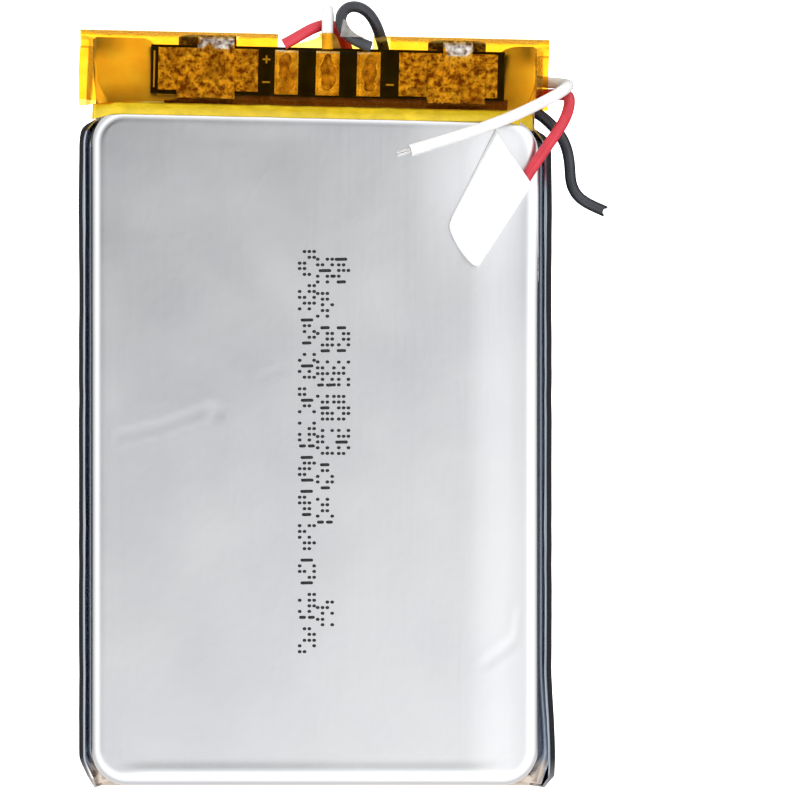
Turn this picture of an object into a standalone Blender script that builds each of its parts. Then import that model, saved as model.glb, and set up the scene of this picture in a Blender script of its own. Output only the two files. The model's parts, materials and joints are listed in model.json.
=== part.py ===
"""Lithium-ion polymer pouch cell with a protection board under amber tape and three free leads.

The cell lies on its back: +Z is up through the drawn face, +Y points to the header with the tabs,
and the origin is at the middle of the back face. Lengths below are in millimetres.
"""

import math

import bmesh
import bpy
import numpy as np
from mathutils import Matrix, Vector

MM = 0.001

# Overall size of the cell
CELL_WIDTH = 37.0
CELL_THICKNESS = 5.4
CELL_BOTTOM = -30.1
HEADER_TOP = 30.1
CUP_TOP = 23.45

# Pouch laminate
SHEET = 0.115
SHOULDER = 1.0
FLAP_BULGE = 0.75
BASE_HALF_WIDTH = CELL_WIDTH / 2 - FLAP_BULGE
BASE_RADIUS = 3.0
BASE_BOTTOM = CELL_BOTTOM + 0.3
FLAP_HEIGHT = 4.25
WALL_DRAFT = 0.1
CORNER_STEPS = 6

# Header: the terrace of the pouch is lifted so that the leads fit beneath it
TERRACE_LIFT = 2.05
LIFT_START = 20.6
LIFT_END = 22.8
HEADER_TILT = math.radians(-1.3)
HEADER_PIVOT = Vector((1.0, 26.6, 0.0))

# Tabs, seen from the roll outwards
TAB_WIDTH = 4.6
TAB_SHEET = 0.1
TAB_LOW = 2.37
TAB_HIGH = 4.03
LEFT_TAB_X = -8.6
RIGHT_TAB_X = 11.2

# Protection board
BOARD_SIZE = (28.0, 3.9, 0.4)
BOARD_BASE = 3.4
BOARD_TOP = BOARD_BASE + BOARD_SIZE[2]
PART_HEIGHT = 0.5
GAP = 0.03
PAD_SIZE = (1.85, 3.5, 0.05)
PAD_X = {"red": -2.25, "white": 1.0, "black": 4.25}

# Amber tape
TAPE = 0.06
TAPE_TOP = 4.33
TAPE_UNDER = 1.98
NOTCH = (-3.0, 5.75)

# Electrode roll
ROLL_WIDTH = 33.2
ROLL_BOTTOM = -28.2
ROLL_TOP = 20.9
ROLL_TURNS = 3
ROLL_PITCH = 0.54
ROLL_SHEET = 0.095
ROLL_CENTRE_Z = 2.7

# Leads
LEAD_RADIUS = 0.45
CORE_RADIUS = 0.2
LEAD_POINTS = 76

RED_ROUTE = [
    (-2.02, 28.55, 4.28), (-1.35, 29.05, 4.25), (-0.45, 29.72, 3.92), (0.43, 30.25, 3.38),
    (1.15, 30.42, 2.75), (1.84, 30.10, 2.12), (2.28, 29.35, 1.58), (2.60, 28.35, 1.42),
    (3.00, 27.30, 1.37), (3.75, 26.35, 0.98), (4.95, 25.75, 0.56), (6.6, 25.6, 0.49),
    (9.5, 25.55, 0.49), (12.5, 25.45, 0.49), (15.2, 25.25, 0.49), (17.2, 25.1, 0.53),
    (18.85, 25.05, 1.13), (19.90, 24.90, 2.55), (20.12, 24.42, 4.05), (19.95, 23.45, 5.15),
    (19.45, 22.35, 5.78), (18.65, 21.15, 6.0), (17.75, 19.85, 6.01), (16.80, 18.45, 6.02),
    (15.9, 16.95, 6.02), (15.0, 15.45, 6.02),
]
WHITE_ROUTE = [
    (1.0, 28.45, 4.30), (1.0, 29.0, 4.37), (1.0, 29.75, 4.40), (1.0, 31.12, 3.84),
    (1.0, 31.72, 2.43), (1.04, 31.17, 1.08), (1.25, 29.90, 0.50), (1.95, 28.75, 0.49),
    (3.30, 27.98, 0.49), (5.3, 27.75, 0.49), (8.0, 27.6, 0.49), (11.0, 27.25, 0.49),
    (14.0, 26.7, 0.49), (16.5, 26.32, 0.50), (18.4, 26.18, 0.86), (19.75, 26.12, 2.05),
    (20.2, 25.95, 3.5), (19.85, 25.52, 4.95), (19.0, 24.80, 5.85), (17.7, 24.00, 6.10),
    (15.4, 22.95, 6.0), (13.0, 22.05, 5.95), (10.7, 21.30, 5.90), (7.75, 20.42, 5.87),
]
BLACK_ROUTE = [
    (4.42, 28.60, 4.30), (3.65, 28.9, 4.42), (2.80, 29.40, 4.48), (2.18, 30.20, 4.32),
    (2.10, 31.12, 3.90), (2.68, 31.80, 3.38), (3.62, 31.80, 2.90), (4.48, 31.10, 2.45),
    (5.02, 30.05, 1.98), (5.38, 28.85, 1.55), (5.66, 27.60, 1.42), (6.05, 26.40, 1.42),
    (6.65, 25.35, 1.38), (7.65, 24.62, 1.00), (9.1, 24.27, 0.58), (10.9, 24.2, 0.49),
    (12.6, 24.2, 0.49), (14.4, 24.25, 0.49), (16.3, 24.1, 0.49), (17.75, 23.55, 0.49),
    (18.85, 22.65, 0.49), (19.65, 21.65, 0.49), (20.12, 20.45, 0.49), (20.3, 19.1, 0.49),
    (20.45, 17.9, 0.49), (20.95, 17.0, 0.49), (21.75, 16.4, 0.49), (22.7, 15.95, 0.49),
]

# Folded paper-tape flag on the end of the red lead: its fold runs from FLAG_HEAD to FLAG_TIP
FLAG_HEAD = Vector((16.55, 18.0))
FLAG_TIP = Vector((12.35, 11.2))
FLAG_SIDE = Vector((-2.3, 3.9))
FLAG_TIP_SHARE = 0.88
FLAG_SHEET = 0.08
FLAG_REACH = 4.5
FLAG_Z = 6.02


def clear_scene():
    for obj in list(bpy.data.objects):
        bpy.data.objects.remove(obj, do_unlink=True)


def new_collection(name):
    collection = bpy.data.collections.new(name)
    bpy.context.scene.collection.children.link(collection)
    return collection


clear_scene()
PARTS = new_collection("pouch_cell")
CUTTERS = new_collection("cutters")


def material(name, colour, roughness, metallic=0.0):
    made = bpy.data.materials.new(name)
    made.use_nodes = True
    shader = made.node_tree.nodes["Principled BSDF"]
    shader.inputs["Base Color"].default_value = (*colour, 1.0)
    shader.inputs["Roughness"].default_value = roughness
    shader.inputs["Metallic"].default_value = metallic
    made.diffuse_color = (*colour, 1.0)
    return made


FOIL = material("laminate_foil", (0.72, 0.73, 0.74), 0.28, 0.9)
CATHODE = material("cathode_coating", (0.06, 0.06, 0.07), 0.7)
ANODE = material("copper_anode", (0.62, 0.32, 0.2), 0.4, 1.0)
SEPARATOR = material("separator_film", (0.93, 0.93, 0.9), 0.6)
GREEN_TAPE = material("green_tape", (0.1, 0.4, 0.2), 0.5)
ALUMINIUM = material("aluminium_tab", (0.8, 0.8, 0.81), 0.35, 1.0)
NICKEL = material("nickel_plate", (0.62, 0.58, 0.53), 0.38, 1.0)
SEAL_FILM = material("tab_seal_film", (0.85, 0.84, 0.78), 0.5)
MASK = material("board_mask", (0.01, 0.02, 0.015), 0.35)
SOLDER = material("solder", (0.7, 0.68, 0.64), 0.35, 1.0)
EPOXY = material("chip_epoxy", (0.03, 0.03, 0.035), 0.5)
CERAMIC = material("chip_ceramic", (0.5, 0.38, 0.26), 0.5)
FIBRE = material("insulating_paper", (0.75, 0.7, 0.55), 0.8)
RED = material("red_insulation", (0.75, 0.03, 0.06), 0.4)
WHITE = material("white_insulation", (0.9, 0.9, 0.89), 0.4)
BLACK = material("black_insulation", (0.03, 0.03, 0.035), 0.4)
TINNED = material("tinned_copper", (0.72, 0.7, 0.67), 0.3, 1.0)
AMBER = material("amber_tape", (0.85, 0.45, 0.03), 0.2)
PAPER = material("white_tape", (0.93, 0.93, 0.92), 0.6)


# ---------------------------------------------------------------- shared shapes


def add_object(name, data, paint, collection=PARTS):
    obj = bpy.data.objects.new(name, data)
    obj.data.materials.append(paint)
    collection.objects.link(obj)
    return obj


def add_bmesh(name, bm, paint, collection=PARTS):
    data = bpy.data.meshes.new(name)
    bmesh.ops.recalc_face_normals(bm, faces=bm.faces)
    bm.to_mesh(data)
    bm.free()
    return add_object(name, data, paint, collection)


def smooth(obj, degrees=35):
    obj.data.shade_smooth()
    obj.data.set_sharp_from_angle(angle=math.radians(degrees))


def thicken(obj, thickness, offset, even=True):
    solid = obj.modifiers.new("Solidify", "SOLIDIFY")
    solid.thickness = thickness * MM
    solid.offset = offset
    solid.use_even_offset = even
    solid.use_rim = True


def box(name, size, centre, paint, bevel=0.0, collection=PARTS):
    """A block given by its size and centre, with rounded edges where bevel is set."""
    bm = bmesh.new()
    bmesh.ops.create_cube(bm, size=1.0)
    bmesh.ops.scale(bm, vec=Vector(size) * MM, verts=bm.verts)
    bmesh.ops.translate(bm, vec=Vector(centre) * MM, verts=bm.verts)
    obj = add_bmesh(name, bm, paint, collection)
    if bevel:
        rounded = obj.modifiers.new("Bevel", "BEVEL")
        rounded.width = bevel * MM
        rounded.segments = 2
    return obj


def arc(centre, radius, start, end, steps):
    """Points (y, z) on an arc, with angles in degrees."""
    points = []
    for step in range(steps + 1):
        angle = math.radians(start + (end - start) * step / steps)
        points.append((centre[0] + radius * math.cos(angle), centre[1] + radius * math.sin(angle)))
    return points


def strip(name, profile, x_low, x_high, thickness, paint):
    """A strip bent along a (y, z) profile and running straight across in x."""
    bm = bmesh.new()
    rows = [[bm.verts.new((x * MM, y * MM, z * MM)) for y, z in profile] for x in (x_low, x_high)]
    for step in range(len(profile) - 1):
        bm.faces.new((rows[0][step], rows[1][step], rows[1][step + 1], rows[0][step + 1]))
    obj = add_bmesh(name, bm, paint)
    thicken(obj, thickness, 0.0)
    smooth(obj)
    return obj


def smooth_route(points, count):
    """Evenly spread points on a natural cubic spline through the route's own points."""
    knots = np.asarray(points, float)
    spans = np.linalg.norm(np.diff(knots, axis=0), axis=1)
    at = np.concatenate([[0.0], np.cumsum(spans)])
    size = len(knots)
    system = np.eye(size)
    target = np.zeros((size, 3))
    for i in range(1, size - 1):
        before, after = spans[i - 1], spans[i]
        system[i, i - 1 : i + 2] = (before, 2 * (before + after), after)
        target[i] = 6 * ((knots[i + 1] - knots[i]) / after - (knots[i] - knots[i - 1]) / before)
    bends = np.linalg.solve(system, target)
    result = []
    for along in np.linspace(0.0, at[-1], count):
        i = min(int(np.searchsorted(at, along, side="right")) - 1, size - 2)
        left = (at[i + 1] - along) / spans[i]
        right = (along - at[i]) / spans[i]
        bow = (left**3 - left) * bends[i] + (right**3 - right) * bends[i + 1]
        result.append(left * knots[i] + right * knots[i + 1] + bow * spans[i] ** 2 / 6)
    return result


def tube(name, points, radius, paint):
    """A round bar along a list of points."""
    data = bpy.data.curves.new(name, "CURVE")
    data.dimensions = "3D"
    data.bevel_depth = radius * MM
    data.bevel_resolution = 2
    data.use_fill_caps = True
    spline = data.splines.new("POLY")
    spline.points.add(len(points) - 1)
    for slot, point in zip(spline.points, points):
        slot.co = (point[0] * MM, point[1] * MM, point[2] * MM, 1.0)
    return add_object(name, data, paint)


def blend(value, low, high):
    """0 below low, 1 above high, and a smooth step between."""
    t = min(max((value - low) / (high - low), 0.0), 1.0)
    return t * t * (3 - 2 * t)


# ---------------------------------------------------------------- pouch


def outline(half_width, top, bottom, radius):
    """Rounded rectangle as (point, outward normal), anticlockwise from the right side's top corner."""
    corners = (
        (half_width - radius, top - radius, 0),
        (radius - half_width, top - radius, 90),
        (radius - half_width, bottom + radius, 180),
        (half_width - radius, bottom + radius, 270),
    )
    points = []
    for x, y, start in corners:
        for step in range(CORNER_STEPS + 1):
            angle = math.radians(start + 90 * step / CORNER_STEPS)
            normal = Vector((math.cos(angle), math.sin(angle)))
            points.append((Vector((x, y)) + radius * normal, normal))
    return points


def lifted(x, y, z):
    """The pouch's shape where its header end leans and its terrace rises off the back plane."""
    rise = TERRACE_LIFT * blend(y, LIFT_START, LIFT_END) * (1 - blend(z, 0.8, CELL_THICKNESS))
    lean = math.tan(HEADER_TILT) * (x - HEADER_PIVOT.x) * blend(y, 12.0, 22.0)
    return Vector((x, y + lean, z + rise)) * MM


def rim_point(point, normal, side, rim, terrace):
    """A point of a rim ring: each of side, rim and terrace is (distance out, height)."""
    turned = math.degrees(math.asin(normal.y))
    folded = 1 - blend(turned, 15.0, 45.0) if turned > 0 else 1 - blend(-turned, 35.0, 75.0)
    if normal.y > 0.75:
        return Vector((point.x, max(point.y, CUP_TOP - 0.4) + terrace[0], terrace[1]))
    out = rim[0] + (side[0] - rim[0]) * folded
    height = rim[1] + (side[1] - rim[1]) * folded
    spot = point + normal * out
    return Vector((spot.x, spot.y, height))


def pouch_sheet(name, rings, faces_up):
    """Skins the rings into a sheet with a flat middle and gives it the laminate's thickness."""
    bm = bmesh.new()
    rows = [[bm.verts.new(lifted(*spot)) for spot in ring] for ring in rings]
    bm.faces.new(rows[0])
    count = len(rows[0])
    for inner, outer in zip(rows, rows[1:]):
        for i in range(count):
            j = (i + 1) % count
            bm.faces.new((inner[i], outer[i], outer[j], inner[j]))
    data = bpy.data.meshes.new(name)
    bm.normal_update()
    if not faces_up:
        bmesh.ops.reverse_faces(bm, faces=bm.faces)
    bm.to_mesh(data)
    bm.free()
    obj = add_object(name, data, FOIL)
    thicken(obj, SHEET, -1.0, even=False)
    smooth(obj, 50)
    return obj


def cup_ring(inset, z, radius):
    ring = outline(
        BASE_HALF_WIDTH - inset, CUP_TOP - inset, BASE_BOTTOM + inset, max(radius, 0.5)
    )
    return [(point.x, point.y, z) for point, _ in ring]


def rim_ring(side, rim, terrace):
    ring = outline(BASE_HALF_WIDTH, CUP_TOP, BASE_BOTTOM, BASE_RADIUS)
    return [tuple(rim_point(point, normal, side, rim, terrace)) for point, normal in ring]


def make_pouch_front():
    """Deep-drawn cup with its rounded shoulder, side flaps folded up and flat terrace."""
    rings = []
    for step in range(5):
        angle = math.radians(90 * step / 4)
        inset = WALL_DRAFT + SHOULDER * (1 - math.sin(angle))
        z = CELL_THICKNESS - SHOULDER * (1 - math.cos(angle))
        rings.append(cup_ring(inset, z, BASE_RADIUS - inset))
    rings.append(cup_ring(0.0, 1.1, BASE_RADIUS))
    rings.append(rim_ring((0.0, 0.62), (0.0, 0.62), (0.0, 0.95)))
    rings.append(rim_ring((0.08, 0.42), (0.0, 0.54), (0.12, 0.72)))
    rings.append(rim_ring((0.2, 0.36), (0.0, 0.46), (0.5, 0.64)))
    rings.append(rim_ring((0.34, 0.42), (0.0, 0.39), (1.6, 0.64)))
    rings.append(rim_ring((0.4, 0.62), (0.0, 0.33), (2.8, 0.64)))
    rings.append(rim_ring((0.25, 2.4), (0.0, 0.27), (3.6, 0.64)))
    rings.append(rim_ring((-0.02, FLAP_HEIGHT), (0.0, 0.22), (4.2, 0.64)))
    return pouch_sheet("pouch_front_cup", rings, True)


def make_pouch_back():
    """Flat back of the pouch with the outer layer of the folded side flaps."""
    rings = [cup_ring(inset, 0.0, BASE_RADIUS - inset) for inset in (2.9, 2.3, 1.7, 1.1, 0.5)]
    rings += [
        rim_ring((0.15, 0.0), (0.1, 0.0), (0.0, 0.0)),
        rim_ring((0.5, 0.03), (0.18, 0.0), (0.5, 0.0)),
        rim_ring((0.68, 0.16), (0.24, 0.02), (1.6, 0.0)),
        rim_ring((FLAP_BULGE, 0.5), (0.29, 0.06), (2.8, 0.0)),
        rim_ring((0.6, 2.4), (0.3, 0.1), (3.6, 0.0)),
        rim_ring((0.34, FLAP_HEIGHT), (0.3, 0.14), (4.2, 0.0)),
    ]
    return pouch_sheet("pouch_back_sheet", rings, False)


# ---------------------------------------------------------------- electrode roll


def spiral(start_radius):
    """Flattened spiral as (x, z): flat runs joined by half turns that grow outwards."""
    half = ROLL_WIDTH / 2 - 0.25 - ROLL_PITCH * ROLL_TURNS
    points = []
    steps = 6
    for half_turn in range(2 * ROLL_TURNS):
        side = 1 if half_turn % 2 == 0 else -1
        for step in range(steps + 1):
            grown = start_radius + ROLL_PITCH * (half_turn + step / steps) / 2
            angle = math.radians(-90 + 180 * step / steps)
            x = side * (half + grown * math.cos(angle))
            z = side * grown * math.sin(angle)
            points.append((x, z))
    end_radius = start_radius + ROLL_PITCH * ROLL_TURNS
    points.append((half - 6.0, -end_radius))
    return points


def make_roll_sheet(name, layer, paint, top):
    """One wound sheet; layer counts from the innermost of the four that are wound together."""
    bm = bmesh.new()
    points = spiral(0.2 + layer * ROLL_PITCH / 4)
    rows = []
    for y in (ROLL_BOTTOM, top):
        rows.append([bm.verts.new((x * MM, y * MM, (ROLL_CENTRE_Z + z) * MM)) for x, z in points])
    for i in range(len(points) - 1):
        bm.faces.new((rows[0][i], rows[1][i], rows[1][i + 1], rows[0][i + 1]))
    obj = add_bmesh(name, bm, paint)
    thicken(obj, ROLL_SHEET, 0.0)
    smooth(obj)
    return obj


def make_roll():
    make_roll_sheet("anode_sheet", 0, ANODE, ROLL_TOP - 0.5)
    make_roll_sheet("separator_inner", 1, SEPARATOR, ROLL_TOP)
    make_roll_sheet("cathode_sheet", 2, CATHODE, ROLL_TOP - 0.7)
    make_roll_sheet("separator_outer", 3, SEPARATOR, ROLL_TOP)
    low, high = 0.26, 5.14
    bend = ROLL_BOTTOM + 0.3
    profile = [(ROLL_BOTTOM + 9.0, high), (bend, high)]
    profile += arc((bend, high - 0.7), 0.7, 90, 180, 3)[1:]
    profile += arc((bend, low + 0.7), 0.7, 180, 270, 3)
    profile.append((ROLL_BOTTOM + 9.0, low))
    strip("roll_end_tape", profile, -6.0, 6.0, 0.06, GREEN_TAPE)
    box("roll_top_insulator", (ROLL_WIDTH - 3.0, 0.2, 3.2), (0, ROLL_TOP + 0.25, 2.7), FIBRE)


# ---------------------------------------------------------------- header


HEADER = bpy.data.objects.new("header_frame", None)
PARTS.objects.link(HEADER)
HEADER.location = HEADER_PIVOT * MM
HEADER.rotation_euler = (0.0, 0.0, HEADER_TILT)


def on_header(obj):
    """Turns a piece, modelled square to the cell, with the slightly crooked header."""
    obj.parent = HEADER
    obj.matrix_parent_inverse = Matrix.Translation(-HEADER_PIVOT * MM)
    return obj


def make_tab(name, x, paint):
    """Tab strip from the roll through the seal, back over the board and onto its plate."""
    centre = (28.55, (TAB_LOW + TAB_HIGH) / 2)
    radius = (TAB_HIGH - TAB_LOW) / 2
    profile = [(ROLL_TOP + 0.95, 2.75), (ROLL_TOP + 1.4, 2.7), (CUP_TOP, TAB_LOW), (26.0, TAB_LOW)]
    profile += arc(centre, radius, -90, 90, 8)
    profile.append((24.35, TAB_HIGH))
    tab = strip(name, profile, x - TAB_WIDTH / 2, x + TAB_WIDTH / 2, TAB_SHEET, paint)
    return on_header(tab)


def make_seal_film(name, x):
    """Flat sleeve of sealant film round a tab where it passes through the pouch's seal."""
    size = (TAB_WIDTH + 1.6, 3.9, 0.27)
    hole = (TAB_WIDTH + 0.16, 6.0, 0.17)
    centre = (x, 25.9, TAB_LOW)
    film = box(name, size, centre, SEAL_FILM)
    cutter = box(name + "_hole", hole, centre, SEAL_FILM, collection=CUTTERS)
    cutter.hide_render = True
    cutter.display_type = "WIRE"
    cut = film.modifiers.new("Boolean", "BOOLEAN")
    cut.operation = "DIFFERENCE"
    cut.object = cutter
    on_header(cutter)
    return on_header(film)


def make_board():
    on_header(box("circuit_board", BOARD_SIZE, (1.0, 26.6, BOARD_BASE + 0.2), MASK, 0.05))
    plate_z = BOARD_TOP + GAP + 0.06
    on_header(box("left_tab_plate", (7.9, 3.35, 0.12), (-8.45, 26.65, plate_z), NICKEL, 0.02))
    on_header(box("right_tab_plate", (7.8, 3.45, 0.12), (10.55, 26.6, plate_z), NICKEL, 0.02))
    for colour, x in PAD_X.items():
        centre = (x, 26.55, BOARD_TOP + GAP + PAD_SIZE[2] / 2)
        on_header(box(colour + "_lead_pad", PAD_SIZE, centre, SOLDER))
    on_header(box("insulating_pad", (27.0, 3.6, 0.08), (1.0, 26.4, 2.78), FIBRE))


def make_solder(colour, x):
    """Solder mound over the lead's bared end: a long flattened dome."""
    bm = bmesh.new()
    bmesh.ops.create_uvsphere(bm, u_segments=12, v_segments=8, radius=1.0)
    base = BOARD_TOP + 2 * GAP + PAD_SIZE[2]
    bmesh.ops.bisect_plane(
        bm, geom=bm.verts[:] + bm.edges[:] + bm.faces[:], plane_co=(0, 0, 0), plane_no=(0, 0, 1),
        clear_inner=True,
    )
    bmesh.ops.holes_fill(bm, edges=[edge for edge in bm.edges if edge.is_boundary])
    bmesh.ops.scale(bm, vec=Vector((0.6, 1.15, 0.36)) * MM, verts=bm.verts)
    bmesh.ops.translate(bm, vec=Vector((x, 26.55, base)) * MM, verts=bm.verts)
    obj = on_header(add_bmesh(colour + "_solder_joint", bm, SOLDER))
    smooth(obj)
    return obj


def make_chips():
    """Parts on the board's underside: name, size along the board, size across, place, material."""
    chips = (
        ("protection_chip", 2.0, 2.0, -4.0, 26.6, EPOXY),
        ("switch_transistor", 3.2, 2.2, 0.2, 26.6, EPOXY),
        ("sense_resistor", 1.6, 0.8, 4.2, 27.2, EPOXY),
        ("supply_resistor", 1.0, 0.5, -6.4, 27.3, EPOXY),
        ("supply_capacitor", 1.0, 0.5, -6.4, 26.0, CERAMIC),
        ("output_capacitor", 1.0, 0.5, 4.2, 25.8, CERAMIC),
        ("thermistor_chip", 1.0, 0.5, 6.2, 26.6, CERAMIC),
    )
    z = BOARD_BASE - GAP - PART_HEIGHT / 2
    for name, along, across, x, y, paint in chips:
        on_header(box(name, (along, across, PART_HEIGHT), (x, y, z), paint, 0.04))


def make_wrap_tape():
    """Amber tape folded round the header, with a notch in its fold for the leads."""
    radius = (TAPE_TOP - TAPE_UNDER) / 2
    centre = (HEADER_TOP - 0.44 - radius - TAPE / 2, (TAPE_TOP + TAPE_UNDER) / 2)
    profile = [(24.55, TAPE_TOP)]
    profile += arc(centre, radius, 90, -90, 8)
    profile += [(24.1, TAPE_UNDER)]
    tape = strip("header_wrap_tape", profile, -18.4, 18.4, TAPE, AMBER)
    notch_low = 28.05
    size = (NOTCH[1] - NOTCH[0], 4.0, 4.0)
    middle = ((NOTCH[0] + NOTCH[1]) / 2, notch_low + 2.0, 3.2)
    cutter = box("lead_notch", size, middle, AMBER, collection=CUTTERS)
    cutter.hide_render = True
    cutter.display_type = "WIRE"
    cut = tape.modifiers.new("Boolean", "BOOLEAN")
    cut.operation = "DIFFERENCE"
    cut.object = cutter
    on_header(cutter)
    return on_header(tape)


def make_step_tape():
    """Narrow amber strip down the step from the cup's shoulder to the board."""
    profile = [(22.55, CELL_THICKNESS - 0.03 + 0.08), (22.95, CELL_THICKNESS - 0.02)]
    profile += [(23.35, 5.1), (23.6, 4.75), (23.85, 4.3), (24.4, 4.22)]
    return on_header(strip("step_tape", profile, -17.2, 17.0, TAPE, AMBER))


def make_tape_scrap():
    """Offcut of clear tape standing on the header's edge between the leads."""
    profile = [(28.95, 3.62), (30.05, 3.3)]
    return strip("clear_tape_scrap", profile, 2.75, 4.0, 0.05, SEAL_FILM)


# ---------------------------------------------------------------- leads


def make_lead(colour, route, paint):
    points = smooth_route(route, LEAD_POINTS)
    tube(colour + "_lead", points, LEAD_RADIUS, paint)
    return points


def make_core(name, points, length):
    """Bare conductor that carries on from a lead's end."""
    end = Vector(points[-1])
    direction = (end - Vector(points[-2])).normalized()
    tube(name, [end + direction * GAP, end + direction * length], CORE_RADIUS, TINNED)


def make_flag():
    """Paper tape folded over the red lead's end: two layers that close on their free side."""
    bm = bmesh.new()
    across = [(FLAG_REACH, -0.5), (1.2, -0.5)]
    across += [(1.2 * reach, height) for reach, height in arc((0.0, 0.0), 0.53, 270, 90, 8)]
    across += [(0.8, 0.46), (1.8, 0.0), (2.6, -0.24), (FLAG_REACH, -0.34)]
    rows = []
    for start, width in ((FLAG_HEAD, 1.0), (FLAG_TIP, FLAG_TIP_SHARE)):
        row = []
        for reach, height in across:
            spot = start + FLAG_SIDE * width * reach / FLAG_REACH
            row.append(bm.verts.new(Vector((spot.x, spot.y, FLAG_Z + height)) * MM))
        rows.append(row)
    for i in range(len(across) - 1):
        bm.faces.new((rows[0][i], rows[1][i], rows[1][i + 1], rows[0][i + 1]))
    flag = add_bmesh("lead_end_flag", bm, PAPER)
    thicken(flag, FLAG_SHEET, 0.0)
    smooth(flag)


make_pouch_front()
make_pouch_back()
make_roll()
make_tab("positive_tab", LEFT_TAB_X, ALUMINIUM)
make_tab("negative_tab", RIGHT_TAB_X, NICKEL)
make_seal_film("positive_tab_film", LEFT_TAB_X)
make_seal_film("negative_tab_film", RIGHT_TAB_X)
make_board()
for lead_colour, pad_x in PAD_X.items():
    make_solder(lead_colour, pad_x)
make_chips()
make_wrap_tape()
make_step_tape()
make_tape_scrap()
red_points = make_lead("red", RED_ROUTE, RED)
white_points = make_lead("white", WHITE_ROUTE, WHITE)
black_points = make_lead("black", BLACK_ROUTE, BLACK)
make_core("white_lead_tip", white_points, 1.55)
make_core("black_lead_strands", black_points, 0.5)
make_core("red_lead_core", red_points, 1.2)
make_flag()
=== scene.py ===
"""The looks of a lithium-ion polymer pouch cell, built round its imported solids.

The cell lies on its back: +Z is up through the drawn face and +Y points to the taped header.
Shapes are worked out in millimetres and scaled to metres where an object is made.
"""

import json
import math
import random

import bmesh
import bpy
import numpy as np
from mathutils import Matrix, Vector, noise


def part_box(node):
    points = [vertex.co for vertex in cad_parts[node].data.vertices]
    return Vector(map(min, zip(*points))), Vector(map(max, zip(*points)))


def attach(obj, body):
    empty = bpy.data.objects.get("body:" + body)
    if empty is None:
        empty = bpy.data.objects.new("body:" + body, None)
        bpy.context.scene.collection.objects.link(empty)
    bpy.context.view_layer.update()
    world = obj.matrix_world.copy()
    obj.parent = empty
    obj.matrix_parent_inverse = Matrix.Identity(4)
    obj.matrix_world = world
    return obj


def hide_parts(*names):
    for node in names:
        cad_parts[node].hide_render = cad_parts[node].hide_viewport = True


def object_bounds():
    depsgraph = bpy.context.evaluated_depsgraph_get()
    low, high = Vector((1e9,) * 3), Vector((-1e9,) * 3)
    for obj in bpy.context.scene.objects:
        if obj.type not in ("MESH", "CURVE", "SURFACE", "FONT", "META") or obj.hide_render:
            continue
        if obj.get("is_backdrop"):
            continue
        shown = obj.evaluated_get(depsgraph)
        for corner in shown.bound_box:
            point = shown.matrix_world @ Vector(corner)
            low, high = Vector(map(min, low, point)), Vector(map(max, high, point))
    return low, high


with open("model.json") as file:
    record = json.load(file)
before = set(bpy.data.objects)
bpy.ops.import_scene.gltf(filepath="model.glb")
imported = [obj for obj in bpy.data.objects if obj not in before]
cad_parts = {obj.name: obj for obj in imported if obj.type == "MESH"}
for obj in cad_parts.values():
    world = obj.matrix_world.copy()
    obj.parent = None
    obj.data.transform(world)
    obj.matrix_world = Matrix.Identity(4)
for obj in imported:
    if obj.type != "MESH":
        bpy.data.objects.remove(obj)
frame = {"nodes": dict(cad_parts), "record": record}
cad_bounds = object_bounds()

MM = 0.001


def size_of(node):
    """Lowest and highest corners of a solid, in millimetres."""
    low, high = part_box(node)
    return low / MM, high / MM


# ---------------------------------------------------------------- sizes, in millimetres

BACK_LOW, BACK_HIGH = size_of("pouch_back_sheet")
THICKNESS = size_of("pouch_front_cup")[1].z
FLAP_BULGE = 0.75
HALF_WIDTH = BACK_HIGH.x - FLAP_BULGE
BASE_BOTTOM = BACK_LOW.y + 0.3
CUP_TOP = 23.45
SHEET = 0.115
SHOULDER = 1.0
WALL_DRAFT = 0.1
CORNER_RADIUS = 3.0
FLAP_HEIGHT = 4.25
FACE_INSET = SHOULDER + WALL_DRAFT
FACE_HALF = Vector((HALF_WIDTH - FACE_INSET, (CUP_TOP - BASE_BOTTOM) / 2 - FACE_INSET))
FACE_CENTRE_Y = (CUP_TOP + BASE_BOTTOM) / 2
FACE_PITCH = 0.42
BACK_INSET = 0.5
BACK_PITCH = 0.8

TERRACE_LIFT = 2.05
LIFT_START = 20.6
LIFT_END = 22.8
TERRACE_EARS = 0.34
HEADER_TILT = math.radians(-1.3)
HEADER_PIVOT = Vector((1.0, 26.6, 0.0))

BOARD_TOP = 3.8
PAD_TOP = 3.88
TAPE = 0.06
TAPE_TOP = 4.33
TAPE_UNDER = 1.98
TAPE_HALF = 18.4
TAPE_START = 23.98
PINCHED_TOP = 3.18
PINCHED_UNDER = 3.02

LEAD_RADIUS = 0.45
LEAD_STEPS = 220

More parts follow.
